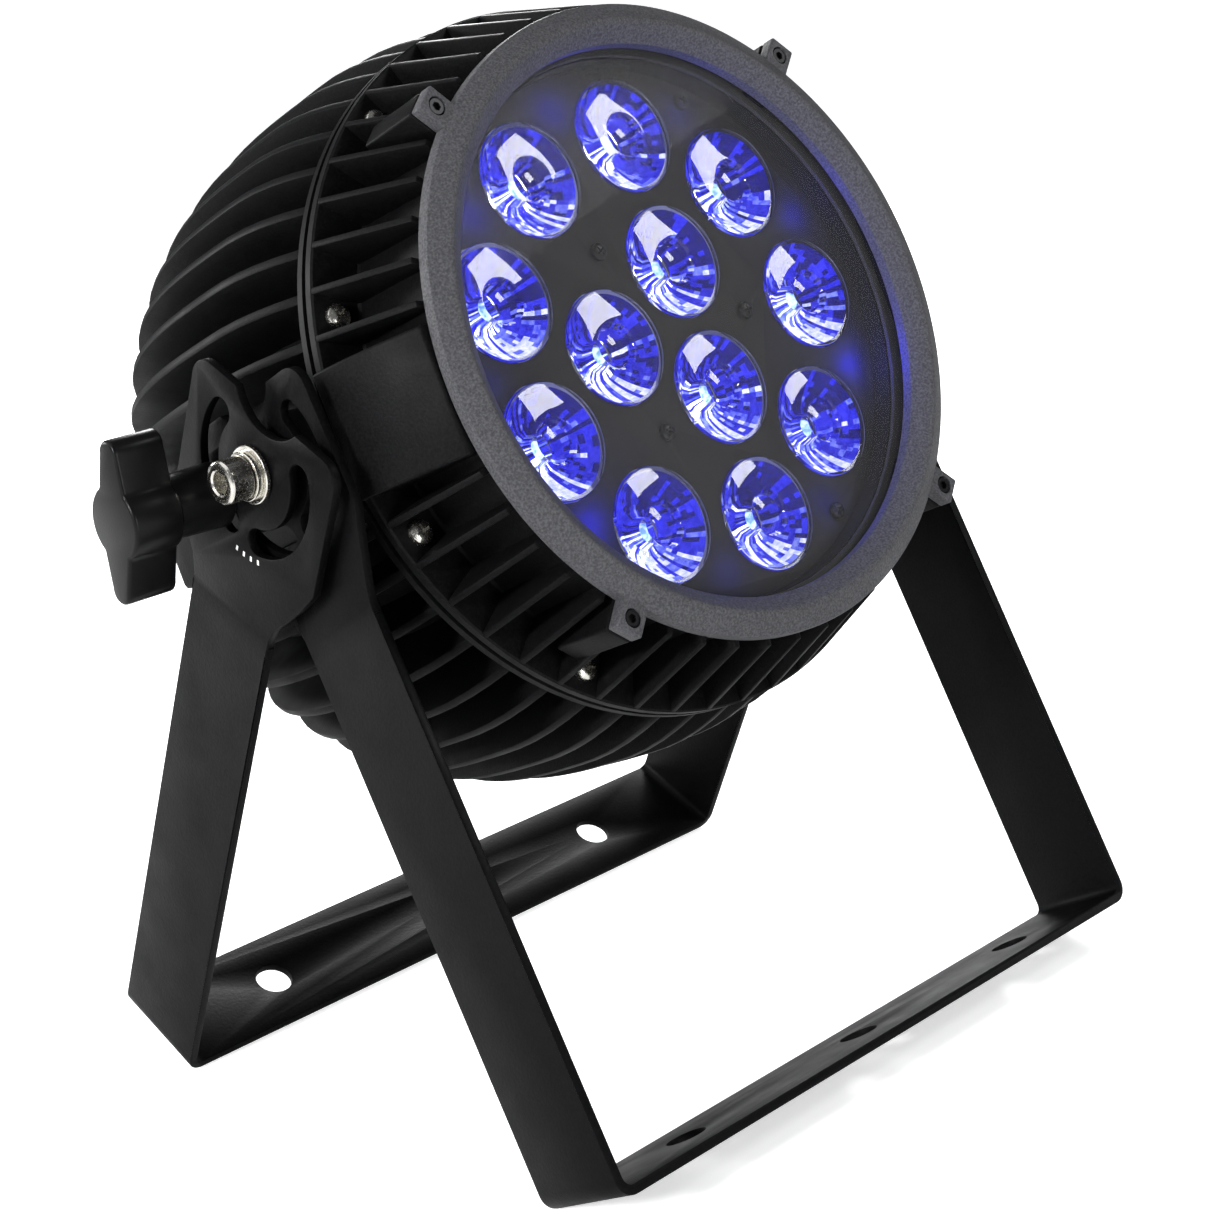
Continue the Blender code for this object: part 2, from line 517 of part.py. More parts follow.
def back_parts(head):
    inner_wall = REAR_Z + REAR_WALL
    panel_face = REAR_Z - GAP
    panel = block((-PANEL_W / 2, PANEL_Y - PANEL_H / 2, panel_face - PANEL_T),
                  (PANEL_W / 2, PANEL_Y + PANEL_H / 2, panel_face))
    control_panel = place("control_panel", panel, plastic(), head)
    window_y = PANEL_Y + WINDOW_UP
    button_y = PANEL_Y - BUTTON_DOWN
    holes = block((-WINDOW_W / 2 - GAP, window_y - WINDOW_H / 2 - GAP, panel_face - PANEL_T - 1 * MM),
                  (WINDOW_W / 2 + GAP, window_y + WINDOW_H / 2 + GAP, panel_face + 1 * MM))
    button_x = [(i - 1.5) * BUTTON_PITCH for i in range(4)]
    for x in button_x:
        rod(BUTTON_R + GAP, panel_face - PANEL_T - 1 * MM, panel_face + 1 * MM, 12, holes,
            Matrix.Translation((x, button_y, 0)))
    boolean(control_panel, holes, "DIFFERENCE")
    lip = panel_face + GAP
    window = block((-WINDOW_W / 2, window_y - WINDOW_H / 2, panel_face - PANEL_T),
                   (WINDOW_W / 2, window_y + WINDOW_H / 2, lip + 0.5 * MM))
    display = place("display_window", window, paint("clear_acrylic", (0.92, 0.94, 1.0), 0.03, 0.0, 0.35), head)
    flange = block((-WINDOW_W / 2 - 1.5 * MM, window_y - WINDOW_H / 2 - 1.5 * MM, lip),
                   (WINDOW_W / 2 + 1.5 * MM, window_y + WINDOW_H / 2 + 1.5 * MM, lip + 1 * MM))
    boolean(display, flange, "UNION")
    for i, x in enumerate(button_x):
        out = -PANEL_T - GAP - BUTTON_STAND
        shape = lathe([(0, 1 * MM), (BUTTON_R + 1 * MM, 1 * MM), (BUTTON_R + 1 * MM, 0), (BUTTON_R, 0),
                       (BUTTON_R, out + 0.6 * MM), (BUTTON_R - 0.6 * MM, out), (0, out)], 12, False)
        place(f"button_{i + 1}", shape, paint("button_silicone", (0.1, 0.1, 0.1), 0.6), head,
              (x, button_y, lip))
    switch_top = lip + 1 * MM + BUTTON_TRAVEL + GAP
    board_back = inner_wall + GAP
    board = block((-PANEL_W / 2, PANEL_Y - PANEL_H / 2, board_back),
                  (PANEL_W / 2, PANEL_Y + PANEL_H / 2, board_back + 1.6 * MM))
    control_board = place("control_board", board, paint("green_circuit_board", (0.02, 0.14, 0.05), 0.4), head)
    parts = block((-WINDOW_W / 2 + 1 * MM, window_y - WINDOW_H / 2 + 1 * MM, lip + 1.5 * MM),
                  (WINDOW_W / 2 - 1 * MM, window_y + WINDOW_H / 2 - 1 * MM, board_back + 0.8 * MM))
    for x in button_x:
        rod(3 * MM, switch_top, board_back + 0.8 * MM, 8, parts, Matrix.Translation((x, button_y, 0)))
    boolean(control_board, parts, "UNION")
    supply = block((-60 * MM, -36 * MM, CORE_Z - GAP - 36 * MM), (60 * MM, 36 * MM, CORE_Z - GAP))
    place("power_supply", supply, paint("bare_aluminium", (0.6, 0.6, 0.6), 0.4, 1.0), head)
    for name, (x, r) in SOCKETS.items():
        barrel = r - 2 * MM
        end = panel_face - SOCKET_LEN
        shape = lathe([(0, inner_wall + 5 * MM), (r - 0.5 * MM, inner_wall + 5 * MM),
                       (r - 0.5 * MM, inner_wall + GAP), (barrel, inner_wall + GAP), (barrel, panel_face),
                       (r, panel_face), (r, panel_face - 3 * MM), (r - 1.5 * MM, panel_face - 3 * MM),
                       (r - 1.5 * MM, end), (r - 3.3 * MM, end), (r - 3.3 * MM, end + SOCKET_DEEP),
                       (0, end + SOCKET_DEEP)], 16, False)
        place(name, shape, plastic(), head, (x, SOCKET_Y, 0))
    stem = lathe([(0, inner_wall + 5 * MM), (5 * MM, inner_wall + 5 * MM), (5 * MM, inner_wall + GAP),
                  (3 * MM, inner_wall + GAP), (3 * MM, panel_face), (6 * MM, panel_face),
                  (6 * MM, panel_face - 2 * MM), (3 * MM, panel_face - 3 * MM), (3 * MM, panel_face - 6 * MM),
                  (0, panel_face - 6 * MM)], 12, False)
    eye = place("safety_eye", stem, steel(), head, (0, EYE_Y, 0))
    loop = bmesh.new()
    centre = Matrix.Translation((0, 0, panel_face - 4 * MM - EYE_R)) @ Matrix.Rotation(math.pi / 2, 4, "Y")
    lathe(arc(EYE_R, 0, EYE_ROD, 0, math.tau * 5 / 6, 5), 16, True, loop, centre)
    boolean(eye, loop, "UNION")


# ---------------------------------------------------------------- yokes

def head_outline(half, length):
    """Flat pattern of one leg, pivot at (0, 0), leg along -y, down to the bend."""
    notch_y = NOTCH_DEEP + NOTCH_R
    reach = math.sqrt(NOTCH_R ** 2 - (notch_y - HEAD_TOP) ** 2)
    start = math.atan2(HEAD_TOP - notch_y, reach)
    top = arc(0, notch_y, NOTCH_R, start, -math.pi - start, 6)
    corner = 7 * MM
    left = arc(-half + corner, HEAD_TOP - corner, corner, math.pi / 2, math.pi, 3)
    right = [(-x, y) for x, y in reversed(left)]
    w = BAR_W / 2
    legs_left = [(-half, -HEAD_DROP), (-half + 4 * MM, -HEAD_DROP - 8 * MM), (-w - 2 * MM, -SHOULDER + 3 * MM),
                 (-w, -SHOULDER - 3 * MM), (-w, -length)]
    legs_right = [(-x, y) for x, y in reversed(legs_left)]
    return top + left + legs_left, legs_right + right


def slot(side):
    """Curved slot about the pivot, on one side of the leg."""
    outer, inner = SLOT_R + SLOT_HALF, SLOT_R - SLOT_HALF
    base = -math.pi / 2
    a, b = base + SLOT_FROM, base + SLOT_TO
    path = arc(0, 0, outer, a, b, 9)
    path += arc(SLOT_R * math.cos(b), SLOT_R * math.sin(b), SLOT_HALF, b, b + math.pi, 4)[1:-1]
    path += arc(0, 0, inner, b, a, 7)
    path += arc(SLOT_R * math.cos(a), SLOT_R * math.sin(a), SLOT_HALF, a + math.pi, a + math.tau, 4)[1:-1]
    return [(side * x, y) for x, y in path]


def circle(cx, cy, r, segments):
    return [(cx + r * math.cos(math.tau * i / segments), cy + r * math.sin(math.tau * i / segments))
            for i in range(segments)]


def yoke(name, half_width, length, head_half, parent):
    """Cut the flat pattern, then fold it into a U.

    In the flat, y is the distance along the strip from the left pivot and x is
    across it. Each bend takes the neutral line's length at mid thickness.
    """
    middle = BEND_R + BAR_T / 2
    straight = length - BEND_R - BAR_T
    bend = middle * math.pi / 2
    bottom = 2 * (half_width - BEND_R - BAR_T)
    total = 2 * straight + 2 * bend + bottom
    left_a, left_b = head_outline(head_half, straight)
    loop = left_a + [(x, -total - y) for x, y in reversed(left_a)]
    loop += [(x, -total - y) for x, y in reversed(left_b)] + left_b
    edges = [loop, circle(0, 0, BOLT_R + RUN, 12), circle(0, -total, BOLT_R + RUN, 12)]
    for side in (-1, 1):
        edges += [slot(side), [(x, -total - y) for x, y in slot(side)]]
    for k in (-1, 0, 1):
        edges.append(circle(0, -total / 2 + k * CLAMP_PITCH, CLAMP_HOLE_R, 14))
    bm = bmesh.new()
    for path in edges:
        ring = [bm.verts.new((x, y, -BAR_T / 2)) for x, y in path]
        for i, v in enumerate(ring):
            bm.edges.new((v, ring[(i + 1) % len(ring)]))
    bmesh.ops.remove_doubles(bm, verts=bm.verts, dist=1e-6)
    bmesh.ops.triangle_fill(bm, edges=bm.edges, use_beauty=True)
    solid = bmesh.ops.extrude_face_region(bm, geom=bm.faces[:])
    bmesh.ops.translate(bm, verts=[v for v in solid["geom"] if isinstance(v, bmesh.types.BMVert)],
                        vec=(0, 0, BAR_T))
    steps = 4
    for start in (straight, straight + bend + bottom):
        for i in range(steps + 1):
            bmesh.ops.bisect_plane(bm, geom=bm.verts[:] + bm.edges[:] + bm.faces[:], dist=1e-7,
                                   plane_co=(0, -start - bend * i / steps, 0), plane_no=(0, 1, 0))
    face_x = half_width - BAR_T / 2
    low_z = -length + BAR_T / 2
    for v in bm.verts:
        across, along, off = v.co.x, -v.co.y, v.co.z
        mirror = 1
        if along > total / 2:
            along, mirror = total - along, -1
        if along <= straight:
            x, z = -face_x - off, -along
        elif along < straight + bend:
            turn = (along - straight) / middle
            reach = middle + off
            x = -face_x + middle - reach * math.cos(turn)
            z = -straight - reach * math.sin(turn)
        else:
            x, z = -face_x + middle + (along - straight - bend), low_z - off
        v.co = (mirror * x, across, z)
    return place(name, bm, black_paint(), parent)


def pivot_parts(head):
    for side, word in ((-1, "left"), (1, "right")):
        length = HEAD_X - BOSS_X + (BOSS_X - PAD_X)
        spot = along_x(0, 0, 0, side)
        bolt = lathe([(0, HEAD_X - length), (BOLT_R, HEAD_X - length), (BOLT_R, HEAD_X), (BOLT_HEAD_R, HEAD_X),
                      (BOLT_HEAD_R, HEAD_X + BOLT_HEAD_H - 0.6 * MM),
                      (BOLT_HEAD_R - 0.6 * MM, HEAD_X + BOLT_HEAD_H), (0, HEAD_X + BOLT_HEAD_H)],
                     16, False, None, spot)
        piece = place(f"pivot_bolt_{word}", bolt, steel(), head)
        key = rod(HEX_AF / math.sqrt(3), HEAD_X + BOLT_HEAD_H - 4 * MM, HEAD_X + BOLT_HEAD_H + 1 * MM, 6,
                  None, spot)
        boolean(piece, key, "DIFFERENCE")
        washer = lathe([(BOLT_R + RUN, STACK_X), (WASHER_R, STACK_X), (WASHER_R, STACK_X + 1.6 * MM),
                        (BOLT_HEAD_R + 0.9 * MM, STACK_X + 1.6 * MM),
                        (BOLT_HEAD_R + 0.9 * MM, STACK_X + WASHER_T), (BOLT_R + RUN, STACK_X + WASHER_T)],
                       16, True, None, spot)
        place(f"pivot_washer_{word}", washer, steel(), head)
        spacer = lathe([(BOLT_R + RUN, INNER_HALF + GAP), (SPACER_R, INNER_HALF + GAP),
                        (SPACER_R, OUTER_HALF - BAR_T - GAP), (BOLT_R + RUN, OUTER_HALF - BAR_T - GAP)],
                       16, True, None, spot)
        place(f"pivot_spacer_{word}", spacer, plastic(), head)


def knobs(head):
    """Wing knob whose stud clamps both yokes through their curved slots."""
    for side, word in ((-1, "left"), (1, "right")):
        axis = empty(f"knob_{word}_axis", head, (0, 0, -SLOT_R))
        w, s = KNOB_WEB / 2, KNOB_SPAN / 2
        boss_half = math.asin(w / KNOB_BOSS_R)
        outline = []
        for end in (0, math.pi):
            tip = arc(s - w, 0, w, -math.pi / 2, math.pi / 2, 6)
            body = arc(0, 0, KNOB_BOSS_R, boss_half + 0.25, math.pi - boss_half - 0.25, 6)
            for x, y in tip + body:
                c, d = math.cos(end), math.sin(end)
                outline.append((x * c - y * d, x * d + y * c))
        upright = TILT + KNOB_TURN
        move = along_x(0, 0, 0, side) @ Matrix.Rotation(side * (math.pi / 2 - upright) * -1, 4, "Z")
        wing = extrude(outline, WING_X, WING_X + KNOB_DEEP, None, move)
        knob = place(f"knob_{word}", wing, plastic(), axis)
        stem = lathe([(0, PAD_X + 1 * MM), (BOLT_R, PAD_X + 1 * MM), (BOLT_R, STACK_X), (KNOB_HUB_R, STACK_X),
                      (KNOB_HUB_R - 1 * MM, WING_X + 2 * MM), (0, WING_X + 2 * MM)],
                     16, False, None, along_x(0, 0, 0, side))
        boolean(knob, stem, "UNION")


# ---------------------------------------------------------------- assembly

def centre_on_floor(root):
    """Shift the whole light so that its box stands centred on the origin."""
    bpy.context.view_layer.update()
    graph = bpy.context.evaluated_depsgraph_get()
    low, high = Vector((1e9,) * 3), Vector((-1e9,) * 3)
    for item in bpy.context.scene.objects:
        if item.type != "MESH" or item.hide_render:
            continue
        shape = item.evaluated_get(graph)
        for v in shape.to_mesh().vertices:
            p = item.matrix_world @ v.co
            low = Vector(map(min, low, p))
            high = Vector(map(max, high, p))
        shape.to_mesh_clear()
    root.location = (-(low.x + high.x) / 2, -(low.y + high.y) / 2, -low.z)
    bpy.context.view_layer.update()


def build():
    root = empty("par_can")
    head = empty("head", root, (0, 0, PIVOT_Z), math.pi / 2 - TILT)
    front_housing(head)
    rear_housing(head)
    seam_parts(head)
    bezel_parts(head)
    light_engine(head)
    back_parts(head)
    pivot_parts(head)
    knobs(head)
    inner_axis = empty("inner_yoke_axis", root, (0, 0, PIVOT_Z), -FRONT_LEG)
    outer_axis = empty("outer_yoke_axis", root, (0, 0, PIVOT_Z), REAR_LEG)
    yoke("inner_yoke", INNER_HALF, INNER_LEN, INNER_HEAD, inner_axis)
    yoke("outer_yoke", OUTER_HALF, OUTER_LEN, OUTER_HEAD, outer_axis)
    centre_on_floor(root)


build()
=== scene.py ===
import math
import random

import bpy
from mathutils import Matrix, Vector


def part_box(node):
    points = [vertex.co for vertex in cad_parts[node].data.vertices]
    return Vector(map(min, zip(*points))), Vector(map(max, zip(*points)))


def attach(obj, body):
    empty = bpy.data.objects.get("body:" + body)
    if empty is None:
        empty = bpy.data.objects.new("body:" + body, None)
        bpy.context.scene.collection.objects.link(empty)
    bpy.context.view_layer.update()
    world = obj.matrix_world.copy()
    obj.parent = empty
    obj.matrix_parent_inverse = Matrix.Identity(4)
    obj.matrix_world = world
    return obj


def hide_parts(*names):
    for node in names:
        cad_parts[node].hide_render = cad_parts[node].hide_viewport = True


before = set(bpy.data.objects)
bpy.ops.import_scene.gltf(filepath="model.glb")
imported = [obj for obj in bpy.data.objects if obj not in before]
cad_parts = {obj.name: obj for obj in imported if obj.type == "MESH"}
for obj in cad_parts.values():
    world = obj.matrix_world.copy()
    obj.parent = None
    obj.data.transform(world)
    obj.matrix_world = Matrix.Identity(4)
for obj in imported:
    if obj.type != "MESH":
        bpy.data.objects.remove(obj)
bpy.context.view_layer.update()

mm = 0.001
random.seed(7)


def deselectAll():
    bpy.ops.object.select_all(action="DESELECT")


def pick(piece):
    deselectAll()
    piece.select_set(True)
    bpy.context.view_layer.objects.active = piece


def named(name):
    piece = bpy.context.object
    piece.name = name
    piece.data.name = name
    return piece


def modify(piece, kind, **settings):
    # add a modifier and apply it at once
    pick(piece)
    step = piece.modifiers.new(kind.title(), kind)
    for key, value in settings.items():
        setattr(step, key, value)
    bpy.ops.object.modifier_apply(modifier=step.name)
    return piece


def cutWith(piece, tool, operation="DIFFERENCE"):
    modify(piece, "BOOLEAN", operation=operation, object=tool)
    bpy.data.objects.remove(tool, do_unlink=True)
    return piece


def soften(piece, width, segments=2, angle=35):
    return modify(piece, "BEVEL", width=width * mm, segments=segments, limit_method="ANGLE",
                  angle_limit=math.radians(angle), use_clamp_overlap=True, harden_normals=False)


def smooth(piece, angle=30):
    pick(piece)
    bpy.ops.object.shade_smooth_by_angle(angle=math.radians(angle))
    return piece


def mergeAndTurnOut(piece, distance=0.002):
    pick(piece)
    bpy.ops.object.mode_set(mode="EDIT")
    bpy.ops.mesh.select_all(action="SELECT")
    bpy.ops.mesh.remove_doubles(threshold=distance * mm)
    bpy.ops.mesh.normals_make_consistent(inside=False)
    bpy.ops.object.mode_set(mode="OBJECT")
    return piece


def turned(name, profile, steps=96, place=Matrix.Identity(4)):
    # an outline of (radius, height) in millimetres, spun once round Z; an edge along the axis goes first
    deselectAll()
    bpy.ops.mesh.primitive_circle_add(vertices=len(profile), radius=mm)
    piece = named(name)
    for corner, (r, z) in zip(piece.data.vertices, profile):
        corner.co = (r * mm, 0, z * mm)
    onAxis = [all(profile[i][0] == 0 for i in edge.vertices) for edge in piece.data.edges]
    bpy.ops.object.mode_set(mode="EDIT")
    bpy.ops.mesh.select_mode(type="EDGE")
    bpy.ops.mesh.select_all(action="DESELECT")
    bpy.ops.object.mode_set(mode="OBJECT")
    for edge, dropped in zip(piece.data.edges, onAxis):
        edge.select = dropped
    bpy.ops.object.mode_set(mode="EDIT")
    if any(onAxis):
        bpy.ops.mesh.delete(type="EDGE_FACE")
    bpy.ops.mesh.select_mode(type="VERT")
    bpy.ops.mesh.select_all(action="SELECT")
    bpy.ops.mesh.spin(steps=steps, angle=math.tau, center=(0, 0, 0), axis=(0, 0, 1))
    bpy.ops.object.mode_set(mode="OBJECT")
    mergeAndTurnOut(piece)
    piece.data.transform(place)
    return piece


def slab(name, outline, low, high, place=Matrix.Identity(4)):
    # a flat outline of (x, y) in millimetres, extruded from low to high
    deselectAll()
    bpy.ops.mesh.primitive_circle_add(vertices=len(outline), radius=mm, fill_type="NGON")
    piece = named(name)
    for corner, (x, y) in zip(piece.data.vertices, outline):
        corner.co = (x * mm, y * mm, low * mm)
    bpy.ops.object.mode_set(mode="EDIT")
    bpy.ops.mesh.select_all(action="SELECT")
    bpy.ops.mesh.extrude_region_move(TRANSFORM_OT_translate={"value": (0, 0, (high - low) * mm)})
    bpy.ops.mesh.select_all(action="SELECT")
    bpy.ops.mesh.normals_make_consistent(inside=False)
    bpy.ops.object.mode_set(mode="OBJECT")
    piece.data.transform(place)
    return piece


def box(name, low, high, turn=0.0):
    # a block between two corners in millimetres, turned about Z
    deselectAll()
    bpy.ops.mesh.primitive_cube_add(size=1, location=[(a + b) / 2 * mm for a, b in zip(low, high)],
                                    scale=[(b - a) * mm for a, b in zip(low, high)])
    piece = named(name)
    bpy.ops.object.transform_apply(location=True, rotation=True, scale=True)
    piece.data.transform(Matrix.Rotation(turn, 4, "Z"))
    return piece


def rod(name, radius, low, high, place=Matrix.Identity(4), sides=48):
    deselectAll()
    bpy.ops.mesh.primitive_cylinder_add(vertices=sides, radius=radius * mm, depth=(high - low) * mm,
                                        location=(0, 0, (high + low) / 2 * mm))
    piece = named(name)
    bpy.ops.object.transform_apply(location=True, rotation=True, scale=True)
    piece.data.transform(place)
    return piece


def copied(piece, place, name):
    twin = piece.copy()
    twin.data = piece.data.copy()
    twin.name = name
    twin.data.name = name
    twin.data.transform(place)
    bpy.context.collection.objects.link(twin)
    return twin


def joined(pieces, name):
    deselectAll()
    for piece in pieces:
        piece.select_set(True)
    bpy.context.view_layer.objects.active = pieces[0]
    bpy.ops.object.join()
    return named(name)


def arc(cx, cy, r, start, end, steps):
    # corners on an arc, angles in degrees
    turns = [math.radians(start + (end - start) * i / steps) for i in range(steps + 1)]
    return [(cx + r * math.cos(t), cy + r * math.sin(t)) for t in turns]


def shift(x=0.0, y=0.0, z=0.0):
    return Matrix.Translation((x * mm, y * mm, z * mm))


def spun(degrees, axis="Z"):
    return Matrix.Rotation(math.radians(degrees), 4, axis)


def alongX(side, z=0.0):
    # lays a shape made along +Z along +X or -X, at a height z in the head's frame
    return shift(0, 0, z) @ spun(90 * side, "Y")


def settle(piece, place, material, body, slot, *nodes):
    # puts a finished piece in the world, dresses it and ties it to its body
    pick(piece)
    piece.matrix_world = place
    bpy.ops.object.transform_apply(location=True, rotation=True, scale=True)
    if material:
        piece.data.materials.clear()
        piece.data.materials.append(material)
    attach(piece, body)
    if nodes:
        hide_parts(*nodes)
    return piece


# the two washers sit either side of the pivot, so the middle of their boxes is the pivot's middle
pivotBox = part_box("pivot_washer_left"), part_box("pivot_washer_right")
pivot = sum((corner for pair in pivotBox for corner in pair), Vector()) / 4
# degrees and millimetres: the head's tilt, the front legs' lean, and pivot to the far side of each bottom bar
stand = {"tilt": 21.0, "frontLeg": 24.5, "innerLength": 232.5, "outerLength": 238.7, "barWide": 38.0}
reach = math.hypot(stand["outerLength"], stand["barWide"] / 2) * mm
rearLeg = math.degrees(math.atan(stand["barWide"] / 2 / stand["outerLength"]) + math.acos(pivot.z / reach))
headPlace = Matrix.Translation(pivot) @ spun(90 - stand["tilt"], "X")
innerPlace = Matrix.Translation(pivot) @ spun(-stand["frontLeg"], "X")
outerPlace = Matrix.Translation(pivot) @ spun(rearLeg, "X")


def rgb(hexColour):
    # sRGB hex to linear
    parts = [int(hexColour[i:i + 2], 16) / 255 for i in (1, 3, 5)]
    return [c / 12.92 if c <= 0.04045 else ((c + 0.055) / 1.055) ** 2.4 for c in parts] + [1.0]


def addNode(tree, kind, settings=None, inputs=None):
    node = tree.nodes.new(kind)
    for key, value in (settings or {}).items():
        setattr(node, key, value)
    for key, value in (inputs or {}).items():
        if isinstance(value, bpy.types.NodeSocket):
            tree.links.new(value, node.inputs[key])
        else:
            node.inputs[key].default_value = value
    return node


sockets = {"colour": "Base Color", "rough": "Roughness", "metal": "Metallic", "alpha": "Alpha",
           "clear": "Transmission Weight", "ior": "IOR", "shine": "Specular IOR Level",
           "coat": "Coat Weight", "glow": "Emission Color", "glowPower": "Emission Strength"}


def newMaterial(name, **values):
    material = bpy.data.materials.new(name)
    material.use_nodes = True
    shader = material.node_tree.nodes["Principled BSDF"]
    for key, value in values.items():
        shader.inputs[sockets[key]].default_value = rgb(value) if isinstance(value, str) else value
    place = addNode(material.node_tree, "ShaderNodeTexCoord").outputs["Object"]
    return material, material.node_tree, shader, place


def noise(tree, place, size, detail=3.0, rough=0.55):
    # grains of a size in millimetres
    settings = {"Vector": place, "Scale": 1 / (size * mm), "Detail": detail, "Roughness": rough}
    return addNode(tree, "ShaderNodeTexNoise", None, settings).outputs["Fac"]


def blendColours(tree, factor, first, second):
    mix = addNode(tree, "ShaderNodeMix", {"data_type": "RGBA"})
    tree.links.new(factor, mix.inputs["Factor"])
    for index, value in ((6, first), (7, second)):
        if isinstance(value, bpy.types.NodeSocket):
            tree.links.new(value, mix.inputs[index])
        else:
            mix.inputs[index].default_value = rgb(value)
    return mix.outputs[2]


def spread(tree, value, low, high, newLow, newHigh):
    # stretches low..high to newLow..newHigh
    settings = {"Value": value, "From Min": low, "From Max": high, "To Min": newLow, "To Max": newHigh}
    return addNode(tree, "ShaderNodeMapRange", None, settings).outputs["Result"]


def bumped(tree, shader, height, depth, strength):
    settings = {"Height": height, "Distance": depth * mm, "Strength": strength}
    bump = addNode(tree, "ShaderNodeBump", None, settings)
    tree.links.new(bump.outputs["Normal"], shader.inputs["Normal"])


def powderCoat(name, dark, light, grain, rough, shine):
    # powder coat on metal: even satin black with a fine orange peel, a little glossier in broad patches
    material, tree, shader, place = newMaterial(name, rough=rough, shine=shine)
    fine = noise(tree, place, grain)
    broad = noise(tree, place, 18.0, 2.0)
    colour = blendColours(tree, spread(tree, fine, 0.35, 0.7, 0, 1), dark, light)
    tree.links.new(colour, shader.inputs["Base Color"])
    tree.links.new(spread(tree, broad, 0.3, 0.7, rough - 0.06, rough + 0.07), shader.inputs["Roughness"])
    bumped(tree, shader, fine, 0.12, 0.55)
    return material


def makeMaterials():
    made = {}
    # the real peel is near 0.4 mm and wouldn't show, so its grains are drawn near 0.9 mm
    made["casting"] = powderCoat("black_powder_coat_cast", "#060607", "#101011", 0.9, 0.5, 0.07)
    # the bezel has the same black coat as the casting; its lighter grey here is painted light for the key
    # light falling on it, while its grain and roughness are its own
    made["bezel"] = powderCoat("black_powder_coat_bezel_painted_lighter", "#343437", "#515154", 0.7, 0.6, 0.2)
    made["yoke"] = powderCoat("black_powder_coat_bar", "#050506", "#0b0b0c", 1.1, 0.44, 0.06)

    # moulded nylon: a soft sheen over a fine spark-eroded texture
    material, tree, shader, place = newMaterial("moulded_nylon", rough=0.33, shine=0.14)
    fine = noise(tree, place, 0.7)
    tree.links.new(blendColours(tree, fine, "#070708", "#0d0d0e"), shader.inputs["Base Color"])
    bumped(tree, shader, fine, 0.06, 0.4)
    made["nylon"] = material

    # moulded ABS sheet: matt, near black, hardly any grain
    material, tree, shader, place = newMaterial("matt_abs_plate", rough=0.6, shine=0.14)
    fine = noise(tree, place, 0.6)
    tree.links.new(blendColours(tree, fine, "#131314", "#1f1f20"), shader.inputs["Base Color"])
    bumped(tree, shader, fine, 0.05, 0.4)
    made["plate"] = material

    # turned and polished stainless: bright, with faint turning marks
    material, tree, shader, place = newMaterial("polished_stainless", metal=1.0, rough=0.2)
    marks = noise(tree, place, 0.5, 4.0)
    tree.links.new(blendColours(tree, marks, "#b9b5aa", "#e2e0da"), shader.inputs["Base Color"])
    tree.links.new(spread(tree, marks, 0.3, 0.7, 0.14, 0.3), shader.inputs["Roughness"])
    made["stainless"] = material

    # black oxide on steel: dark, slightly oily
    material, tree, shader, place = newMaterial("black_oxide", metal=0.8, rough=0.36)
    marks = noise(tree, place, 0.6)
    tree.links.new(blendColours(tree, marks, "#121213", "#262628"), shader.inputs["Base Color"])
    made["oxide"] = material

    # polished acrylic: water clear and glossy
    made["lens"] = newMaterial("clear_acrylic", colour="#f4f6ff", rough=0.02, clear=1.0, ior=1.49)[0]

    # metallised acrylic facets at the lens's back; all four glow by emission, a painted glow, ranging from a
    # painted deep blue shade to a painted white sparkle
    for key, base, dark, light, power in (("deep", "#0b0950", "#080556", "#151090", 0.8),
                                          ("blue", "#1a1890", "#1a18c8", "#3a3cff", 0.8),
                                          ("pale", "#6a78e0", "#4d5ae8", "#97a4ff", 0.8),
                                          ("painted_sparkle", "#f4f6ff", "#b9c4ff", "#ffffff", 1.15)):
        material, tree, shader, place = newMaterial(f"metallised_acrylic_painted_glow_{key}", metal=1.0, rough=0.16,
                                                    colour=base, glowPower=power)
        patches = noise(tree, place, 2.6, 3.0, 0.7)
        glow = blendColours(tree, spread(tree, patches, 0.38, 0.64, 0, 1), dark, light)
        tree.links.new(glow, shader.inputs["Emission Color"])
        bumped(tree, shader, patches, 0.4, 0.6)
        made[key] = material

    # silicone dome over a lit emitter: a pale blue glow, stronger in patches
    material, tree, shader, place = newMaterial("silicone_dome_lit", rough=0.4, colour="#c9e4ff",
                                                glowPower=1.6)
    patches = noise(tree, place, 1.8, 2.0)
    glow = blendColours(tree, spread(tree, patches, 0.4, 0.6, 0, 1), "#2f6dff", "#d8f6ff")
    tree.links.new(glow, shader.inputs["Emission Color"])
    made["emitter"] = material

    # toughened float glass: seen through, with a faint haze
    made["glass"] = newMaterial("toughened_glass", colour="#9a9a9a", rough=0.03, alpha=0.04, shine=0.2,
                                coat=0.0)[0]

    # smoked acrylic: near black and glossy
    made["window"] = newMaterial("smoked_acrylic", colour="#0c1014", rough=0.06, shine=0.6)[0]

    # silicone rubber: grey, dull, faintly mottled
    for key, name, dark, light in (("rubber", "silicone_seal", "#151515", "#1f1f1f"),
                                   ("button", "silicone_button", "#3a3c40", "#4a4c50")):
        material, tree, shader, place = newMaterial(name, rough=0.72)
        fine = noise(tree, place, 0.9)
        tree.links.new(blendColours(tree, fine, dark, light), shader.inputs["Base Color"])
        made[key] = material

    # solder mask on circuit boards: satin, faintly mottled; folded aluminium: bright and a little streaky
    for key, name, dark, light, rough, metal in (
            ("whiteBoard", "white_solder_mask", "#d5d5d0", "#e4e4e0", 0.45, 0.0),
            ("greenBoard", "green_solder_mask", "#0d3d1c", "#155427", 0.38, 0.0),
            ("sheet", "folded_aluminium", "#a4a5a6", "#c3c4c5", 0.35, 1.0)):
        material, tree, shader, place = newMaterial(name, rough=rough, metal=metal)
        fine = noise(tree, place, 1.4)
        tree.links.new(blendColours(tree, fine, dark, light), shader.inputs["Base Color"])
        made[key] = material

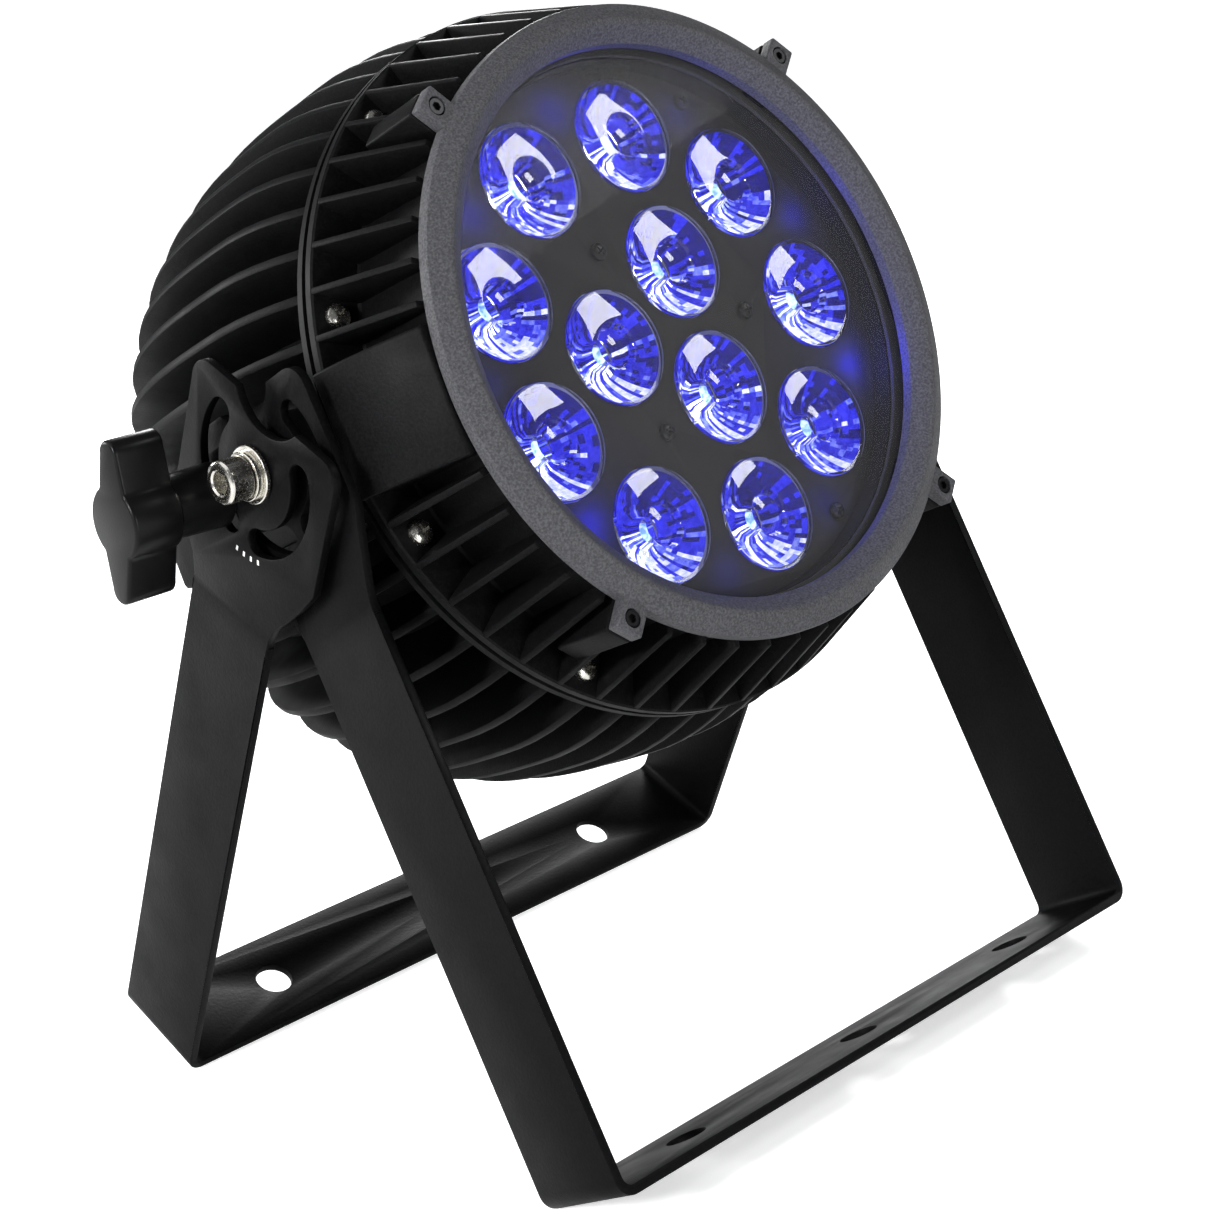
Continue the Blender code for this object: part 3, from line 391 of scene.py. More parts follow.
    # white pad-printed ink: flat and matt
    made["ticks"] = newMaterial("white_print", colour="#d8d8d4", rough=0.6)[0]
    return made


materials = makeMaterials()
print("materials made")

# the last two entries set which lens facets get a painted white sparkle and which a painted deep blue shade,
# by their turn towards the key light
lensSize = {"radius": 18.4, "face": 49.6, "tall": 17.0, "rim": 2.4, "seat": 7.0, "dip": 7.0, "dipDeep": 2.0,
            "outerRing": 64.2, "innerRing": 24.2, "plate": 3.0, "plateDrop": 1.2, "waist": 17.0,
            "sectors": 60, "bands": 12, "paintedSparkleTurn": 235.0, "steps": (0.32, 0.57, 0.7)}
lensSpots = [(lensSize["outerRing"], 120 - 40 * i) for i in range(9)]
lensSpots += [(lensSize["innerRing"], a) for a in (60, -60, 180)]
plateScrewSpots = [(34.0, a) for a in (0, 120, 240)]
rimScrewSpots = [(81.0, a) for a in (60, 180, 300)]

shot = {"place": (-0.5266, -0.6035, 0.3622), "azimuth": -42.38, "elevation": 15.73, "roll": -6.95,
        "lens": 72.23, "sensor": 36.0, "far": 100}


def makeCamera():
    az, el, ro = (math.radians(shot[key]) for key in ("azimuth", "elevation", "roll"))
    back = Vector((math.sin(az) * math.cos(el), -math.cos(az) * math.cos(el), math.sin(el)))
    right = Vector((0, 0, 1)).cross(back).normalized()
    up = back.cross(right)
    turnedRight = math.cos(ro) * right + math.sin(ro) * up
    turnedUp = -math.sin(ro) * right + math.cos(ro) * up
    deselectAll()
    bpy.ops.object.camera_add()
    camera = bpy.context.object
    facing = Matrix((turnedRight, turnedUp, back)).transposed().to_4x4()
    camera.matrix_world = Matrix.Translation(shot["place"]) @ facing
    camera.data.lens = shot["lens"]
    camera.data.sensor_width = shot["sensor"]
    camera.data.clip_end = shot["far"]
    bpy.context.scene.camera = camera


# each soft box has its place and aim in metres, its width and height, and its watts
softBoxes = {"key": ((-1.9, -0.35, 0.95), (0, -0.05, 0.22), (0.3, 0.3), 40),
             "glint": ((-0.25, -1.7, 0.25), (0, -0.1, 0.25), (0.5, 0.35), 8),
             "rim": ((1.0, -1.0, 1.1), (0, -0.1, 0.25), (0.4, 0.4), 8),
             "backRight": ((1.3, 1.3, 1.0), (0, 0.05, 0.22), (0.9, 0.6), 40),
             "backLeft": ((-0.9, 1.6, 0.7), (0, 0.05, 0.22), (0.6, 0.6), 22)}
studio = {"floorSize": 60, "floorLight": 0.05, "floorSeen": 0.62, "sky": 0.2, "skySeen": 1.05,
          "overhead": 1.2, "overheadSpread": 70, "spillRing": 76, "spillPowers": (0.012, 0.03, 0.07)}


def softBox(name, place, aim, size, power):
    deselectAll()
    bpy.ops.object.light_add(type="AREA", location=place)
    lamp = bpy.context.object
    lamp.name = name
    lamp.data.shape = "RECTANGLE"
    lamp.data.size, lamp.data.size_y = size
    lamp.data.energy = power
    lamp.rotation_euler = (Vector(aim) - Vector(place)).to_track_quat("-Z", "Y").to_euler()


def makeStudio():
    s = studio
    deselectAll()
    bpy.ops.mesh.primitive_plane_add(size=s["floorSize"])
    floor = named("studio_floor")
    # the floor shows white to the camera and gives the object only a little of its light back
    material, tree, shader, place = newMaterial("pale_floor", colour="#f4f4f4", rough=0.9, glow="#ffffff")
    seen = addNode(tree, "ShaderNodeLightPath").outputs["Is Camera Ray"]
    glow = spread(tree, seen, 0, 1, s["floorLight"], s["floorSeen"])
    tree.links.new(glow, shader.inputs["Emission Strength"])
    floor.data.materials.append(material)
    world = bpy.data.worlds.new("studio")
    bpy.context.scene.world = world
    world.use_nodes = True
    tree = world.node_tree
    sky = tree.nodes["Background"]
    sky.inputs["Color"].default_value = rgb("#eef1f6")
    sky.inputs["Strength"].default_value = s["sky"]
    seen = addNode(tree, "ShaderNodeBackground", None, {"Color": rgb("#ffffff"), "Strength": s["skySeen"]})
    path = addNode(tree, "ShaderNodeLightPath")
    mix = addNode(tree, "ShaderNodeMixShader", None,
                  {0: path.outputs["Is Camera Ray"], 1: sky.outputs[0], 2: seen.outputs[0]})
    tree.links.new(mix.outputs[0], tree.nodes["World Output"].inputs["Surface"])
    # a broad overhead light keeps the floor evenly white as far as the eye goes
    deselectAll()
    bpy.ops.object.light_add(type="SUN", rotation=(math.radians(-18), math.radians(-32), 0))
    overhead = bpy.context.object
    overhead.name = "overhead"
    overhead.data.energy = s["overhead"]
    overhead.data.angle = math.radians(s["overheadSpread"])
    for name, settings in softBoxes.items():
        softBox(name, *settings)
    # blue light spills from between the outer lenses onto the panel and the bezel
    for i in range(9):
        spot = headPlace @ spun(100 - 40 * i) @ shift(s["spillRing"], 0, lensSize["face"] + 5)
        deselectAll()
        bpy.ops.object.light_add(type="POINT", location=spot.to_translation())
        spill = bpy.context.object
        spill.name = f"spill_{i + 1}"
        spill.data.energy = random.choice(s["spillPowers"])
        spill.data.color = rgb("#1a1aff")[:3]
        spill.data.shadow_soft_size = 2 * mm
        spill.visible_camera = False
        spill.visible_glossy = False
        spill.visible_transmission = False
    bpy.context.scene.view_settings.view_transform = "Standard"


makeCamera()
makeStudio()
print("camera and studio set")

bezelSize = {"outer": 101.0, "crest": 94.2, "lip": 88.2, "face": 68.3, "thick": 8.0, "rimDrop": 3.0,
             "lipDrop": 4.4, "lugMiddle": 105.5, "lugOut": 4.6, "lugWide": 9.0, "hole": 1.8, "sink": 2.4,
             "sinkHole": 3.0, "screwHead": 2.7, "screwTall": 2.0, "shank": 1.5, "screwKey": 1.45}
lugAngles = (45, 132, 228, 315)


def makeBezel():
    # a ring that falls from its crest to the rim outside and to the lip inside, with four screw lugs
    s = bezelSize
    face, outer, crest, lip = s["face"], s["outer"], s["crest"], s["lip"]
    back, rim, lipTop = face - s["thick"], face - s["rimDrop"], face - s["lipDrop"]
    profile = [(outer - 0.8, back), (outer - 0.02, back + 0.8), (outer - 0.02, rim - 1.2),
               (outer - 0.3, rim - 0.3), (outer - 1.1, rim + 0.2), (crest + 1.2, face - 0.35),
               (crest + 0.5, face - 0.06), (crest, face), (crest - 0.6, face - 0.12),
               (crest - 1.2, face - 0.5), (lip + 0.6, lipTop + 0.35), (lip + 0.1, lipTop - 0.2),
               (lip, lipTop - 0.8), (lip, back)]
    ring = turned("front_bezel_ring", profile, 192)
    lugs = [box("lug", (outer - 3, -s["lugWide"] / 2, back + 0.01),
                (s["lugMiddle"] + s["lugOut"], s["lugWide"] / 2, rim), math.radians(a)) for a in lugAngles]
    lug = joined(lugs, "lugs")
    soften(lug, 0.7, 3)
    cutWith(ring, lug, "UNION")
    for a in lugAngles:
        spot = spun(a) @ shift(s["lugMiddle"])
        cutWith(ring, rod("hole", s["hole"], back - 1, face + 1, spot, 32))
        cutWith(ring, rod("sink", s["sinkHole"], rim - s["sink"], face + 1, spot, 32))
    smooth(ring)
    settle(ring, headPlace, materials["bezel"], "head", "head_coating", "front_bezel")
    under, tail = rim - s["sink"], back - 10
    top = under + s["screwTall"]
    head, shank = s["screwHead"], s["shank"]
    screwProfile = [(0, tail), (shank - 0.2, tail), (shank, tail + 0.4), (shank, under), (head, under),
                    (head, top - 0.3), (head - 0.3, top), (0, top)]
    for i, a in enumerate(lugAngles):
        screw = turned(f"lug_screw_{i + 1}", screwProfile, 40)
        cutWith(screw, rod("key", s["screwKey"], top - 1.3, top + 1, sides=6))
        smooth(screw)
        settle(screw, headPlace @ spun(a) @ shift(s["lugMiddle"]), materials["oxide"], "head", "black_screws",
               f"bezel_screw_{i + 1}")


makeBezel()
print("bezel made")

castSize = {"fins": 50, "seamR": 115.8, "flange": 3.2, "seamZ": 23.0, "seamGap": 1.0, "collar": 60.0,
            "frontTip": 102.8, "frontRoot": 97.5, "barrel": 99.5, "frontFin": 2.2, "rearFin": 3.2,
            "bulge": 123.0, "bulgeZ": -20.0, "reach": 118.0, "power": 3.0, "back": -126.0, "depth": 21.0,
            "cap": 70.0, "wall": 4.5, "backWall": 6.0, "core": 14.0, "chamber": 87.0, "glass": 93.3,
            "ledge": 54.98, "pedestal": 28.5, "sideFlat": 119.5, "pad": 101.0, "padHalf": 19.5,
            "padTop": 116.3, "padFall": 15.2, "padCurve": 1.7, "boss": 15.0, "bossX": 120.7, "stud": 21.5,
            "studHole": 4.3, "lugBlock": 9.0, "port": (-37, 37, -1, 31), "seamScrews": 10, "screwRing": 108.0}
frontFace = castSize["seamZ"] + castSize["seamGap"] + castSize["flange"]
rearFlange = castSize["seamZ"] - castSize["seamGap"] - castSize["flange"]
finPitch = 360 / castSize["fins"]
finAngles = [side + k * finPitch for side in (0, 180) for k in range(2, castSize["fins"] // 2 - 1)]


def tipRadius(z):
    s = castSize
    if z >= s["bulgeZ"]:
        share = (z - s["bulgeZ"]) / (rearFlange - s["bulgeZ"])
        return s["seamR"] + (s["bulge"] - s["seamR"]) * (1 - share ** 2)
    share = (s["bulgeZ"] - z) / s["reach"]
    return s["bulge"] * (1 - share ** s["power"]) ** (1 / s["power"])


def rootRadius(z):
    return max(tipRadius(z) - castSize["depth"], castSize["cap"])


def domeSteps(count):
    # a little closer together where the dome turns in
    fall = castSize["back"] - rearFlange
    return [rearFlange + fall * (1 - (1 - i / count) ** 1.3) for i in range(count + 1)]


def ladder(name, rows):
    # a strip of quads with two corners for each row, and those pairs in order
    deselectAll()
    bpy.ops.mesh.primitive_grid_add(x_subdivisions=rows - 1, y_subdivisions=1, size=mm)
    strip = named(name)
    corners = sorted(strip.data.vertices, key=lambda v: (round(v.co.x, 7), v.co.y))
    return strip, list(zip(corners[0::2], corners[1::2]))


def finSheet(name, rows, thick, roundness):
    # one fin in the plane of the axis, from rows of (z, inner, outer), thickened and rounded
    fin, pairs = ladder(name, len(rows))
    for (z, inner, outer), (low, high) in zip(rows, pairs):
        low.co = (inner * mm, 0, z * mm)
        high.co = (outer * mm, 0, z * mm)
    modify(fin, "SOLIDIFY", thickness=thick * mm, offset=0)
    mergeAndTurnOut(fin)
    soften(fin, roundness, 2, 50)
    return fin


def fanOut(fin):
    # copies one fin to every fin's angle
    fins = joined([copied(fin, spun(a), "fin_copy") for a in finAngles], "fins")
    bpy.data.objects.remove(fin, do_unlink=True)
    return fins


def clampSides(piece, limit):
    # fin tips stop at a flat on each side so that they pass inside the brackets
    for corner in piece.data.vertices:
        corner.co.x = max(-limit * mm, min(limit * mm, corner.co.x))


def makeFrontHousing():
    s = castSize
    low, high = s["seamZ"] + s["seamGap"], s["collar"]
    profile = [(s["chamber"], low), (s["chamber"], s["ledge"]), (s["glass"], s["ledge"]), (s["glass"], high),
               (s["frontRoot"] - 0.4, high), (s["frontRoot"], high - 0.4), (s["barrel"], frontFace + 0.8),
               (s["barrel"] + 0.8, frontFace), (s["seamR"] - 0.6, frontFace), (s["seamR"], frontFace - 0.6),
               (s["seamR"], low)]
    body = turned("front_casting", profile, 200)
    rows = [(frontFace - 0.5, s["barrel"] - 1.5, s["seamR"] - 0.05),
            (high - 0.02, s["frontRoot"] - 1.5, s["frontTip"])]
    cutWith(body, fanOut(finSheet("fin", rows, s["frontFin"], 0.45)), "UNION")
    blockLow = (s["chamber"] + 3, -s["lugBlock"] / 2, frontFace + 8)
    blockHigh = (bezelSize["lugMiddle"] + bezelSize["lugOut"], s["lugBlock"] / 2, high - 0.05)
    extras = [box("block", blockLow, blockHigh, math.radians(a)) for a in lugAngles]
    # the pad on each side falls from the flange to the collar in a shallow curve
    outline = [(low + 0.05, s["chamber"] + 3)]
    for i in range(9):
        z = frontFace - 3.15 + (high - frontFace + 3.1) * i / 8
        outline.append((z, s["padTop"] - s["padFall"] * (i / 8) ** s["padCurve"]))
    outline.append((high - 0.05, s["chamber"] + 3))
    for side in (1, -1):
        lay = Matrix(((0, side, 0, 0), (0, 0, 1, 0), (1, 0, 0, 0), (0, 0, 0, 1)))
        extras.append(mergeAndTurnOut(slab("pad", outline, -s["padHalf"], s["padHalf"], lay)))
    extra = joined(extras, "extras")
    soften(extra, 0.9, 3)
    cutWith(body, extra, "UNION")
    smooth(body, 32)
    settle(body, headPlace, materials["casting"], "head", "head_coating", "front_housing")


def makeRearHousing():
    s = castSize
    steps = domeSteps(22)
    face = s["seamZ"] - s["seamGap"]
    profile = [(0, s["back"]), (s["cap"] - 0.8, s["back"])]
    profile += [(rootRadius(z), z) for z in reversed(steps[:-1]) if z > s["back"] + 0.8]
    profile += [(rootRadius(rearFlange) + 1, rearFlange), (s["seamR"] - 0.6, rearFlange),
                (s["seamR"], rearFlange + 0.6), (s["seamR"], face), (s["chamber"] - 1.5, face),
                (s["chamber"] - 1.5, s["pedestal"]), (0, s["pedestal"])]
    body = turned("rear_casting", profile, 200)
    end = s["back"] + s["backWall"]
    hollow = [(0, s["core"])]
    for i in range(9):
        z = s["core"] + (end - s["core"]) * math.sin(math.pi / 2 * i / 8)
        hollow.append((rootRadius(z) - s["wall"], z))
    cutWith(body, turned("hollow", hollow + [(0, end)], 64))
    rows = [(z, rootRadius(z) - 1.6, tipRadius(z)) for z in steps]
    rows[0] = (rearFlange + 0.5, rows[0][1], s["seamR"] - 0.05)
    rows[-1] = (s["back"] + 0.03, rows[-1][1], rows[-1][2])
    fins = fanOut(finSheet("fin", rows, s["rearFin"], 0.7))
    clampSides(fins, s["sideFlat"])
    cutWith(body, fins, "UNION")
    cutWith(body, makePads(steps), "UNION")
    cutWith(body, makeBosses(), "UNION")
    for side in (-1, 1):
        for z in (0, -s["stud"]):
            hole = rod("hole", s["studHole"], s["bossX"] - 24, s["bossX"] + 1, alongX(side, z), 32)
            cutWith(body, hole)
    left, right, low, high = s["port"]
    cutWith(body, box("port", (left, low, s["back"] - 1), (right, high, end + 1)))
    for x, r in socketSpots:
        cutWith(body, rod("hole", r - 2 + 0.3, s["back"] - 1, end + 1, shift(x, backSize["socketY"]), 40))
    cutWith(body, rod("hole", 3.3, s["back"] - 1, end + 1, shift(0, backSize["eyeY"]), 32))
    smooth(body, 32)
    settle(body, headPlace, materials["casting"], "head", "head_coating", "rear_housing")


def makePads(steps):
    # the flat pad on each side follows the dome once it turns in
    s = castSize
    made = []
    rows = [z for z in steps if z > s["back"]] + [s["back"] + 0.03]
    rows[0] = rearFlange + 0.5
    for side in (1, -1):
        pad, pairs = ladder("pad", len(rows))
        for z, (low, high) in zip(rows, pairs):
            x = min(s["pad"], math.sqrt(tipRadius(z) ** 2 - s["padHalf"] ** 2) - 1)
            narrow = min(s["padHalf"], rootRadius(z) * math.sin(math.radians(2 * finPitch)) - 3.5)
            low.co = (side * x * mm, -narrow * mm, z * mm)
            high.co = (side * x * mm, narrow * mm, z * mm)
        bpy.ops.object.mode_set(mode="EDIT")
        bpy.ops.mesh.select_all(action="SELECT")
        bpy.ops.mesh.extrude_region_move(TRANSFORM_OT_translate={"value": (-side * 12 * mm, 0, 0)})
        bpy.ops.object.mode_set(mode="OBJECT")
        made.append(soften(mergeAndTurnOut(pad), 0.9, 2, 50))
    return joined(made, "pads")


def makeBosses():
    s = castSize
    outline = arc(0, 0, s["boss"], -90, 90, 20) + arc(-s["stud"], 0, s["boss"], 90, 270, 20)
    made = []
    for side in (-1, 1):
        place = shift(side * (s["pad"] - 6)) @ spun(90 * side, "Y") @ spun(180 if side > 0 else 0)
        boss = slab("boss", outline, 0, s["bossX"] - s["pad"] + 6, place)
        made.append(soften(boss, 1.0, 3))
    return joined(made, "bosses")


# the rear casting is cut for these, so they come before it
backSize = {"panelWide": 88.0, "panelHigh": 44.0, "panelThick": 3.0, "panelY": 15.0, "windowWide": 40.0,
            "windowHigh": 13.0, "windowUp": 7.0, "button": 4.5, "buttonPitch": 16.0, "buttonDown": 10.0,
            "stand": 2.0, "socketY": -34.0, "socketLong": 16.0, "well": 9.0, "eyeY": 55.0, "eye": 10.5,
            "eyeRod": 2.6, "gap": 0.3, "cornerX": 38.2, "cornerY": 16.2}
socketSpots = [(-39.0, 10.5), (-13.0, 10.5), (13.0, 8.5), (37.0, 8.5)]  # x and collar radius of each

makeFrontHousing()
print("front casting made")
makeRearHousing()
print("rear casting made")


def makeLens():
    # a clear face with a dip in the middle, over a cup cut into facets
    s = lensSize
    face, foot, rim = s["face"], s["face"] - s["tall"], s["face"] - s["rim"]
    cupRings = 7
    profile = [(0, foot + 6), (4.0, foot + 5), (5.0, foot)]
    for i in range(cupRings + 1):
        r = s["seat"] + (s["waist"] - s["seat"]) * i / cupRings
        share = (r ** 2 - s["seat"] ** 2) / (s["waist"] ** 2 - s["seat"] ** 2)
        profile.append((r, foot + (rim - foot) * share))
    profile += [(s["radius"], rim), (s["radius"], face - 0.7), (s["radius"] - 0.25, face - 0.2),
                (s["radius"] - 0.8, face), (s["dip"] + 0.5, face + 0.25), (s["dip"], face - 0.2),
                (s["dip"] - 0.6, face - s["dipDeep"]), (3.6, face - s["dipDeep"] + 0.8),
                (0, face - s["dipDeep"] + 1.3)]
    lens = turned("lens", profile, s["sectors"])
    smooth(lens, 30)
    for key in ("lens", "deep", "blue", "pale", "painted_sparkle"):
        lens.data.materials.append(materials[key])
    return lens


def paintFacetSparkleAndShade(lens, middle):
    # facets turned towards the key light are painted white in radial streaks as a painted sparkle, and those
    # turned away are painted deep blue as painted shade; each facet's turn sets this, not a reflection
    s = lensSize
    foot, rim = s["face"] - s["tall"], s["face"] - s["rim"]
    streak = [random.random() for sector in range(s["sectors"])]
    glitter = [[random.random() for band in range(s["bands"])] for sector in range(s["sectors"])]
    for face in lens.data.polygons:
        arm = (face.center - middle) / mm
        r, z, turn = math.hypot(arm.x, arm.y), arm.z, math.atan2(arm.y, arm.x)
        if not (foot - 0.5 < z < rim - 0.01 and 4.3 < r < s["waist"]):
            continue
        face.use_smooth = False
        # how far a facet turns towards the key light raises its level of painted sparkle
        towardPaintedLight = math.cos(turn - math.radians(s["paintedSparkleTurn"]))
        sector, band = math.floor(turn / math.tau * s["sectors"]), int(r / s["waist"] * s["bands"])
        level = 0.5 * streak[sector] + 0.25 * glitter[sector][band]
        level += 0.3 * towardPaintedLight * (0.35 + 0.65 * r / s["waist"]) + 0.1
        face.material_index = 1 + sum(level > step for step in s["steps"])


def makeLightEngine():
    s = lensSize
    top = s["face"] - s["plateDrop"]
    plate = rod("lens_panel", castSize["chamber"] - 0.5, top - s["plate"], top, sides=160)
    for r, a in lensSpots:
        cutWith(plate, rod("hole", s["radius"] + 0.3, top - 5, top + 2, spun(a) @ shift(r), 72))
    for r, a in plateScrewSpots + rimScrewSpots:
        cutWith(plate, rod("hole", 1.8, top - 5, top + 2, spun(a) @ shift(r), 24))
    soften(plate, 0.35, 2)
    smooth(plate)
    settle(plate, headPlace, materials["plate"], "head", "lens_plate", "lens_plate")
    model = makeLens()
    foot = s["face"] - s["tall"]
    dome = [(0, foot - 1.2), (3.4, foot - 1.2), (3.4, foot + 0.6), (3.1, foot + 2.2), (2.2, foot + 3.6),
            (1.1, foot + 4.3), (0, foot + 4.5)]
    for i, (r, a) in enumerate(lensSpots):
        spot = spun(a) @ shift(r)
        lens = copied(model, spot @ spun(random.uniform(0, 360)), f"optic_{i + 1:02d}")
        paintFacetSparkleAndShade(lens, spot.to_translation())
        settle(lens, headPlace, None, "head", "lens_acrylic", f"lens_{i + 1:02d}")
        emitter = smooth(turned(f"emitter_{i + 1:02d}", dome, 32), 60)
        settle(emitter, headPlace @ spot, materials["emitter"], "head", "lens_acrylic")
    bpy.data.objects.remove(model, do_unlink=True)
    for i, (r, a) in enumerate(plateScrewSpots + rimScrewSpots):
        screw = panScrew(f"panel_screw_{i + 1}", screwSizes["panel"], top + 0.3)
        nodes = [f"plate_screw_{i + 1}"] if i < len(plateScrewSpots) else []
        settle(screw, headPlace @ spun(a) @ shift(r), materials["oxide"], "head", "black_screws", *nodes)


# head radius, shank radius, head height and length under the head
screwSizes = {"panel": (2.8, 1.5, 1.7, 12), "seam": (4.0, 2.0, 2.6, 10), "corner": (2.4, 1.2, 1.4, 3)}


def panScrew(name, size, under):
    # domed head with a cross recess, standing on a face at height under
    head, shank, tall, long = size
    top, tail = under + tall, under - long
    profile = [(0, tail), (shank - 0.3, tail), (shank, tail + 0.4), (shank, under), (head, under),
               (head, under + tall * 0.35), (head * 0.93, under + tall * 0.66),
               (head * 0.72, top - tall * 0.08), (head * 0.4, top), (0, top)]
    screw = turned(name, profile, 40)
    wide, deep = head * 0.2, tall * 0.75
    for a in (0, 90):
        cutWith(screw, box("cross", (-head * 0.58, -wide / 2, top - deep), (head * 0.58, wide / 2, top + 1),
                           math.radians(a)))
    return smooth(screw)


makeLightEngine()
print("light engine made")


def makeSeamScrews():
    # each head stopped at its own angle when it was driven home
    count = castSize["seamScrews"]
    for i in range(count):
        screw = panScrew(f"cross_screw_{i + 1:02d}", screwSizes["seam"], frontFace + 0.3)
        spot = spun(90 + 360 / count * i) @ shift(castSize["screwRing"]) @ spun(random.uniform(0, 90))
        settle(screw, headPlace @ spot, materials["stainless"], "head", "stainless",
               f"seam_screw_{i + 1:02d}")


makeSeamScrews()
print("seam screws made")

yokeSize = {"thick": 3.0, "wide": 38.0, "bend": 3.0, "top": 22.0, "drop": 22.0, "shoulder": 46.0,
            "notch": 17.0, "notchDeep": 14.5, "slotR": 21.5, "slotHalf": 4.35, "slotFrom": 18, "slotTo": 118,
            "hole": 4.3, "clampHole": 6.5, "clampPitch": 80.0, "corner": 7.0, "frontHalf": 123.98,
            "rearHalf": 130.48, "frontPlate": 31.0, "rearPlate": 34.0, "tickR": 27.9, "tickFirst": 3.3,
            "tickPitch": 7.0}


def headPlate(half):
    # outline of one pivot plate, its leg stub down to below the shoulder
    s = yokeSize
    notchY = s["notchDeep"] + s["notch"]
    start = math.degrees(math.asin((s["top"] - notchY) / s["notch"]))
    notch = arc(0, notchY, s["notch"], start, -180 - start, 18)
    corner = arc(-half + s["corner"], s["top"] - s["corner"], s["corner"], 90, 180, 8)
    w = s["wide"] / 2
    side = [(-half, -s["drop"]), (-half + 4, -s["drop"] - 8), (-w - 2, -s["shoulder"] + 3),
            (-w, -s["shoulder"] - 3), (-w, -s["shoulder"] - 12)]
    left = corner + side
    return notch + left + [(-x, y) for x, y in reversed(left)]


def slotOutline(side):
    s = yokeSize
    a, b = -90 + s["slotFrom"], -90 + s["slotTo"]
    r, h = s["slotR"], s["slotHalf"]
    ax, ay = r * math.cos(math.radians(a)), r * math.sin(math.radians(a))
    bx, by = r * math.cos(math.radians(b)), r * math.sin(math.radians(b))
    path = arc(0, 0, r + h, a, b, 26) + arc(bx, by, h, b, b + 180, 10)[1:-1]
    path += arc(0, 0, r - h, b, a, 20) + arc(ax, ay, h, a + 180, a + 360, 10)[1:-1]
    return [(side * x, y) for x, y in path]


def plateLay(half, side):
    # stands a pivot plate on its side: in its own plane x runs across the leg and y up it
    upright = Matrix(((0, 0, side, 0), (1, 0, 0, 0), (0, 1, 0, 0), (0, 0, 0, 1)))
    return shift(side * (half - yokeSize["thick"])) @ upright


def makeYoke(name, half, length, headHalf, place, node):
    # a U drawn from the front and extruded to the bar's width, then two pivot plates and the holes
    s = yokeSize
    outerTurn = s["bend"] + s["thick"]
    startZ = -(s["shoulder"] + 6)
    bendX, bendZ = half - outerTurn, -(length - outerTurn)
    outline = [(-half, startZ)] + arc(-bendX, bendZ, outerTurn, 180, 270, 10)
    outline += arc(bendX, bendZ, outerTurn, 270, 360, 10) + [(half, startZ), (half - s["thick"], startZ)]
    outline += arc(bendX, bendZ, s["bend"], 360, 270, 8) + arc(-bendX, bendZ, s["bend"], 270, 180, 8)
    outline += [(-half + s["thick"], startZ)]
    strip = slab(name, outline, -s["wide"] / 2, s["wide"] / 2, spun(90, "X"))
    for side in (-1, 1):
        lay = plateLay(half, side)
        plate = slab("plate", headPlate(headHalf), 0, s["thick"], lay)
        cutWith(strip, mergeAndTurnOut(plate), "UNION")
        for edge in (-1, 1):
            cutWith(strip, mergeAndTurnOut(slab("slot", slotOutline(edge), -3, s["thick"] + 3, lay)))
        cutWith(strip, mergeAndTurnOut(rod("hole", s["hole"], -3, s["thick"] + 3, lay, 40)))
    for k in (-1, 0, 1):
        spot = shift(k * s["clampPitch"])
        cutWith(strip, rod("clamp_hole", s["clampHole"], -length - 3, -length + s["thick"] + 3, spot, 56))
    soften(strip, 0.45, 2, 40)
    smooth(strip, 32)
    settle(strip, place, materials["yoke"], node, "yoke_coating", node)
    return strip


makeYoke("front_bracket", yokeSize["frontHalf"], stand["innerLength"], yokeSize["frontPlate"], innerPlace,
         "inner_yoke")
makeYoke("rear_bracket", yokeSize["rearHalf"], stand["outerLength"], yokeSize["rearPlate"], outerPlace,
         "outer_yoke")
print("brackets made")

pivotSize = {"bolt": 4.0, "head": 6.5, "headTall": 8.0, "key": 6.0, "washer": 8.8, "washerThick": 1.6,
             "bore": 4.3, "spring": 7.4, "springThick": 2.0, "stack": 130.8, "under": 134.7, "tail": 101}


def washer(name, radius, low, thick, edge):
    # a flat ring on the pivot, its outer corners taken off by edge
    high, bore = low + thick, pivotSize["bore"]
    profile = [(bore, low), (radius - edge, low), (radius, low + edge), (radius, high - edge),
               (radius - edge, high), (bore, high)]
    return turned(name, profile, 72)


def makePivots():
    # socket bolt with a knurled head, over a split spring washer and a flat one
    s = pivotSize
    under, tail, head = s["under"], s["tail"], s["head"]
    top = under + s["headTall"]
    profile = [(0, tail), (s["bolt"], tail), (s["bolt"], under), (head - 0.2, under), (head, under + 0.2),
               (head, top - 0.9), (head - 0.35, top - 0.3), (head - 0.9, top), (4.1, top), (3.6, top - 0.5),
               (0, top - 0.5)]
    for side, word in ((-1, "left"), (1, "right")):
        lay = headPlace @ alongX(side)
        bolt = turned(f"socket_bolt_{word}", profile, 72)
        notches = [box("notch", (head - 0.16, -0.16, under + 1.2), (head + 0.6, 0.16, top - 1.3),
                       math.radians(10 * k)) for k in range(36)]
        cutWith(bolt, joined(notches, "notches"))
        cutWith(bolt, rod("key", s["key"] / math.sqrt(3), top - 4.5, top + 1, sides=6))
        smooth(bolt)
        settle(bolt, lay, materials["stainless"], "head", "stainless", f"pivot_bolt_{word}")
        low = s["stack"]
        flat = washer(f"flat_washer_{word}", s["washer"], low, s["washerThick"], 0.3)
        smooth(flat)
        settle(flat, lay, materials["stainless"], "head", "stainless", f"pivot_washer_{word}")
        low += s["washerThick"] + 0.02
        spring = washer(f"spring_washer_{word}", s["spring"], low, s["springThick"], 0.2)
        cutWith(spring, box("split", (3, -0.6, low - 1), (10, 0.6, low + 4), math.radians(200)))
        smooth(spring)
        settle(spring, lay, materials["stainless"], "head", "stainless")


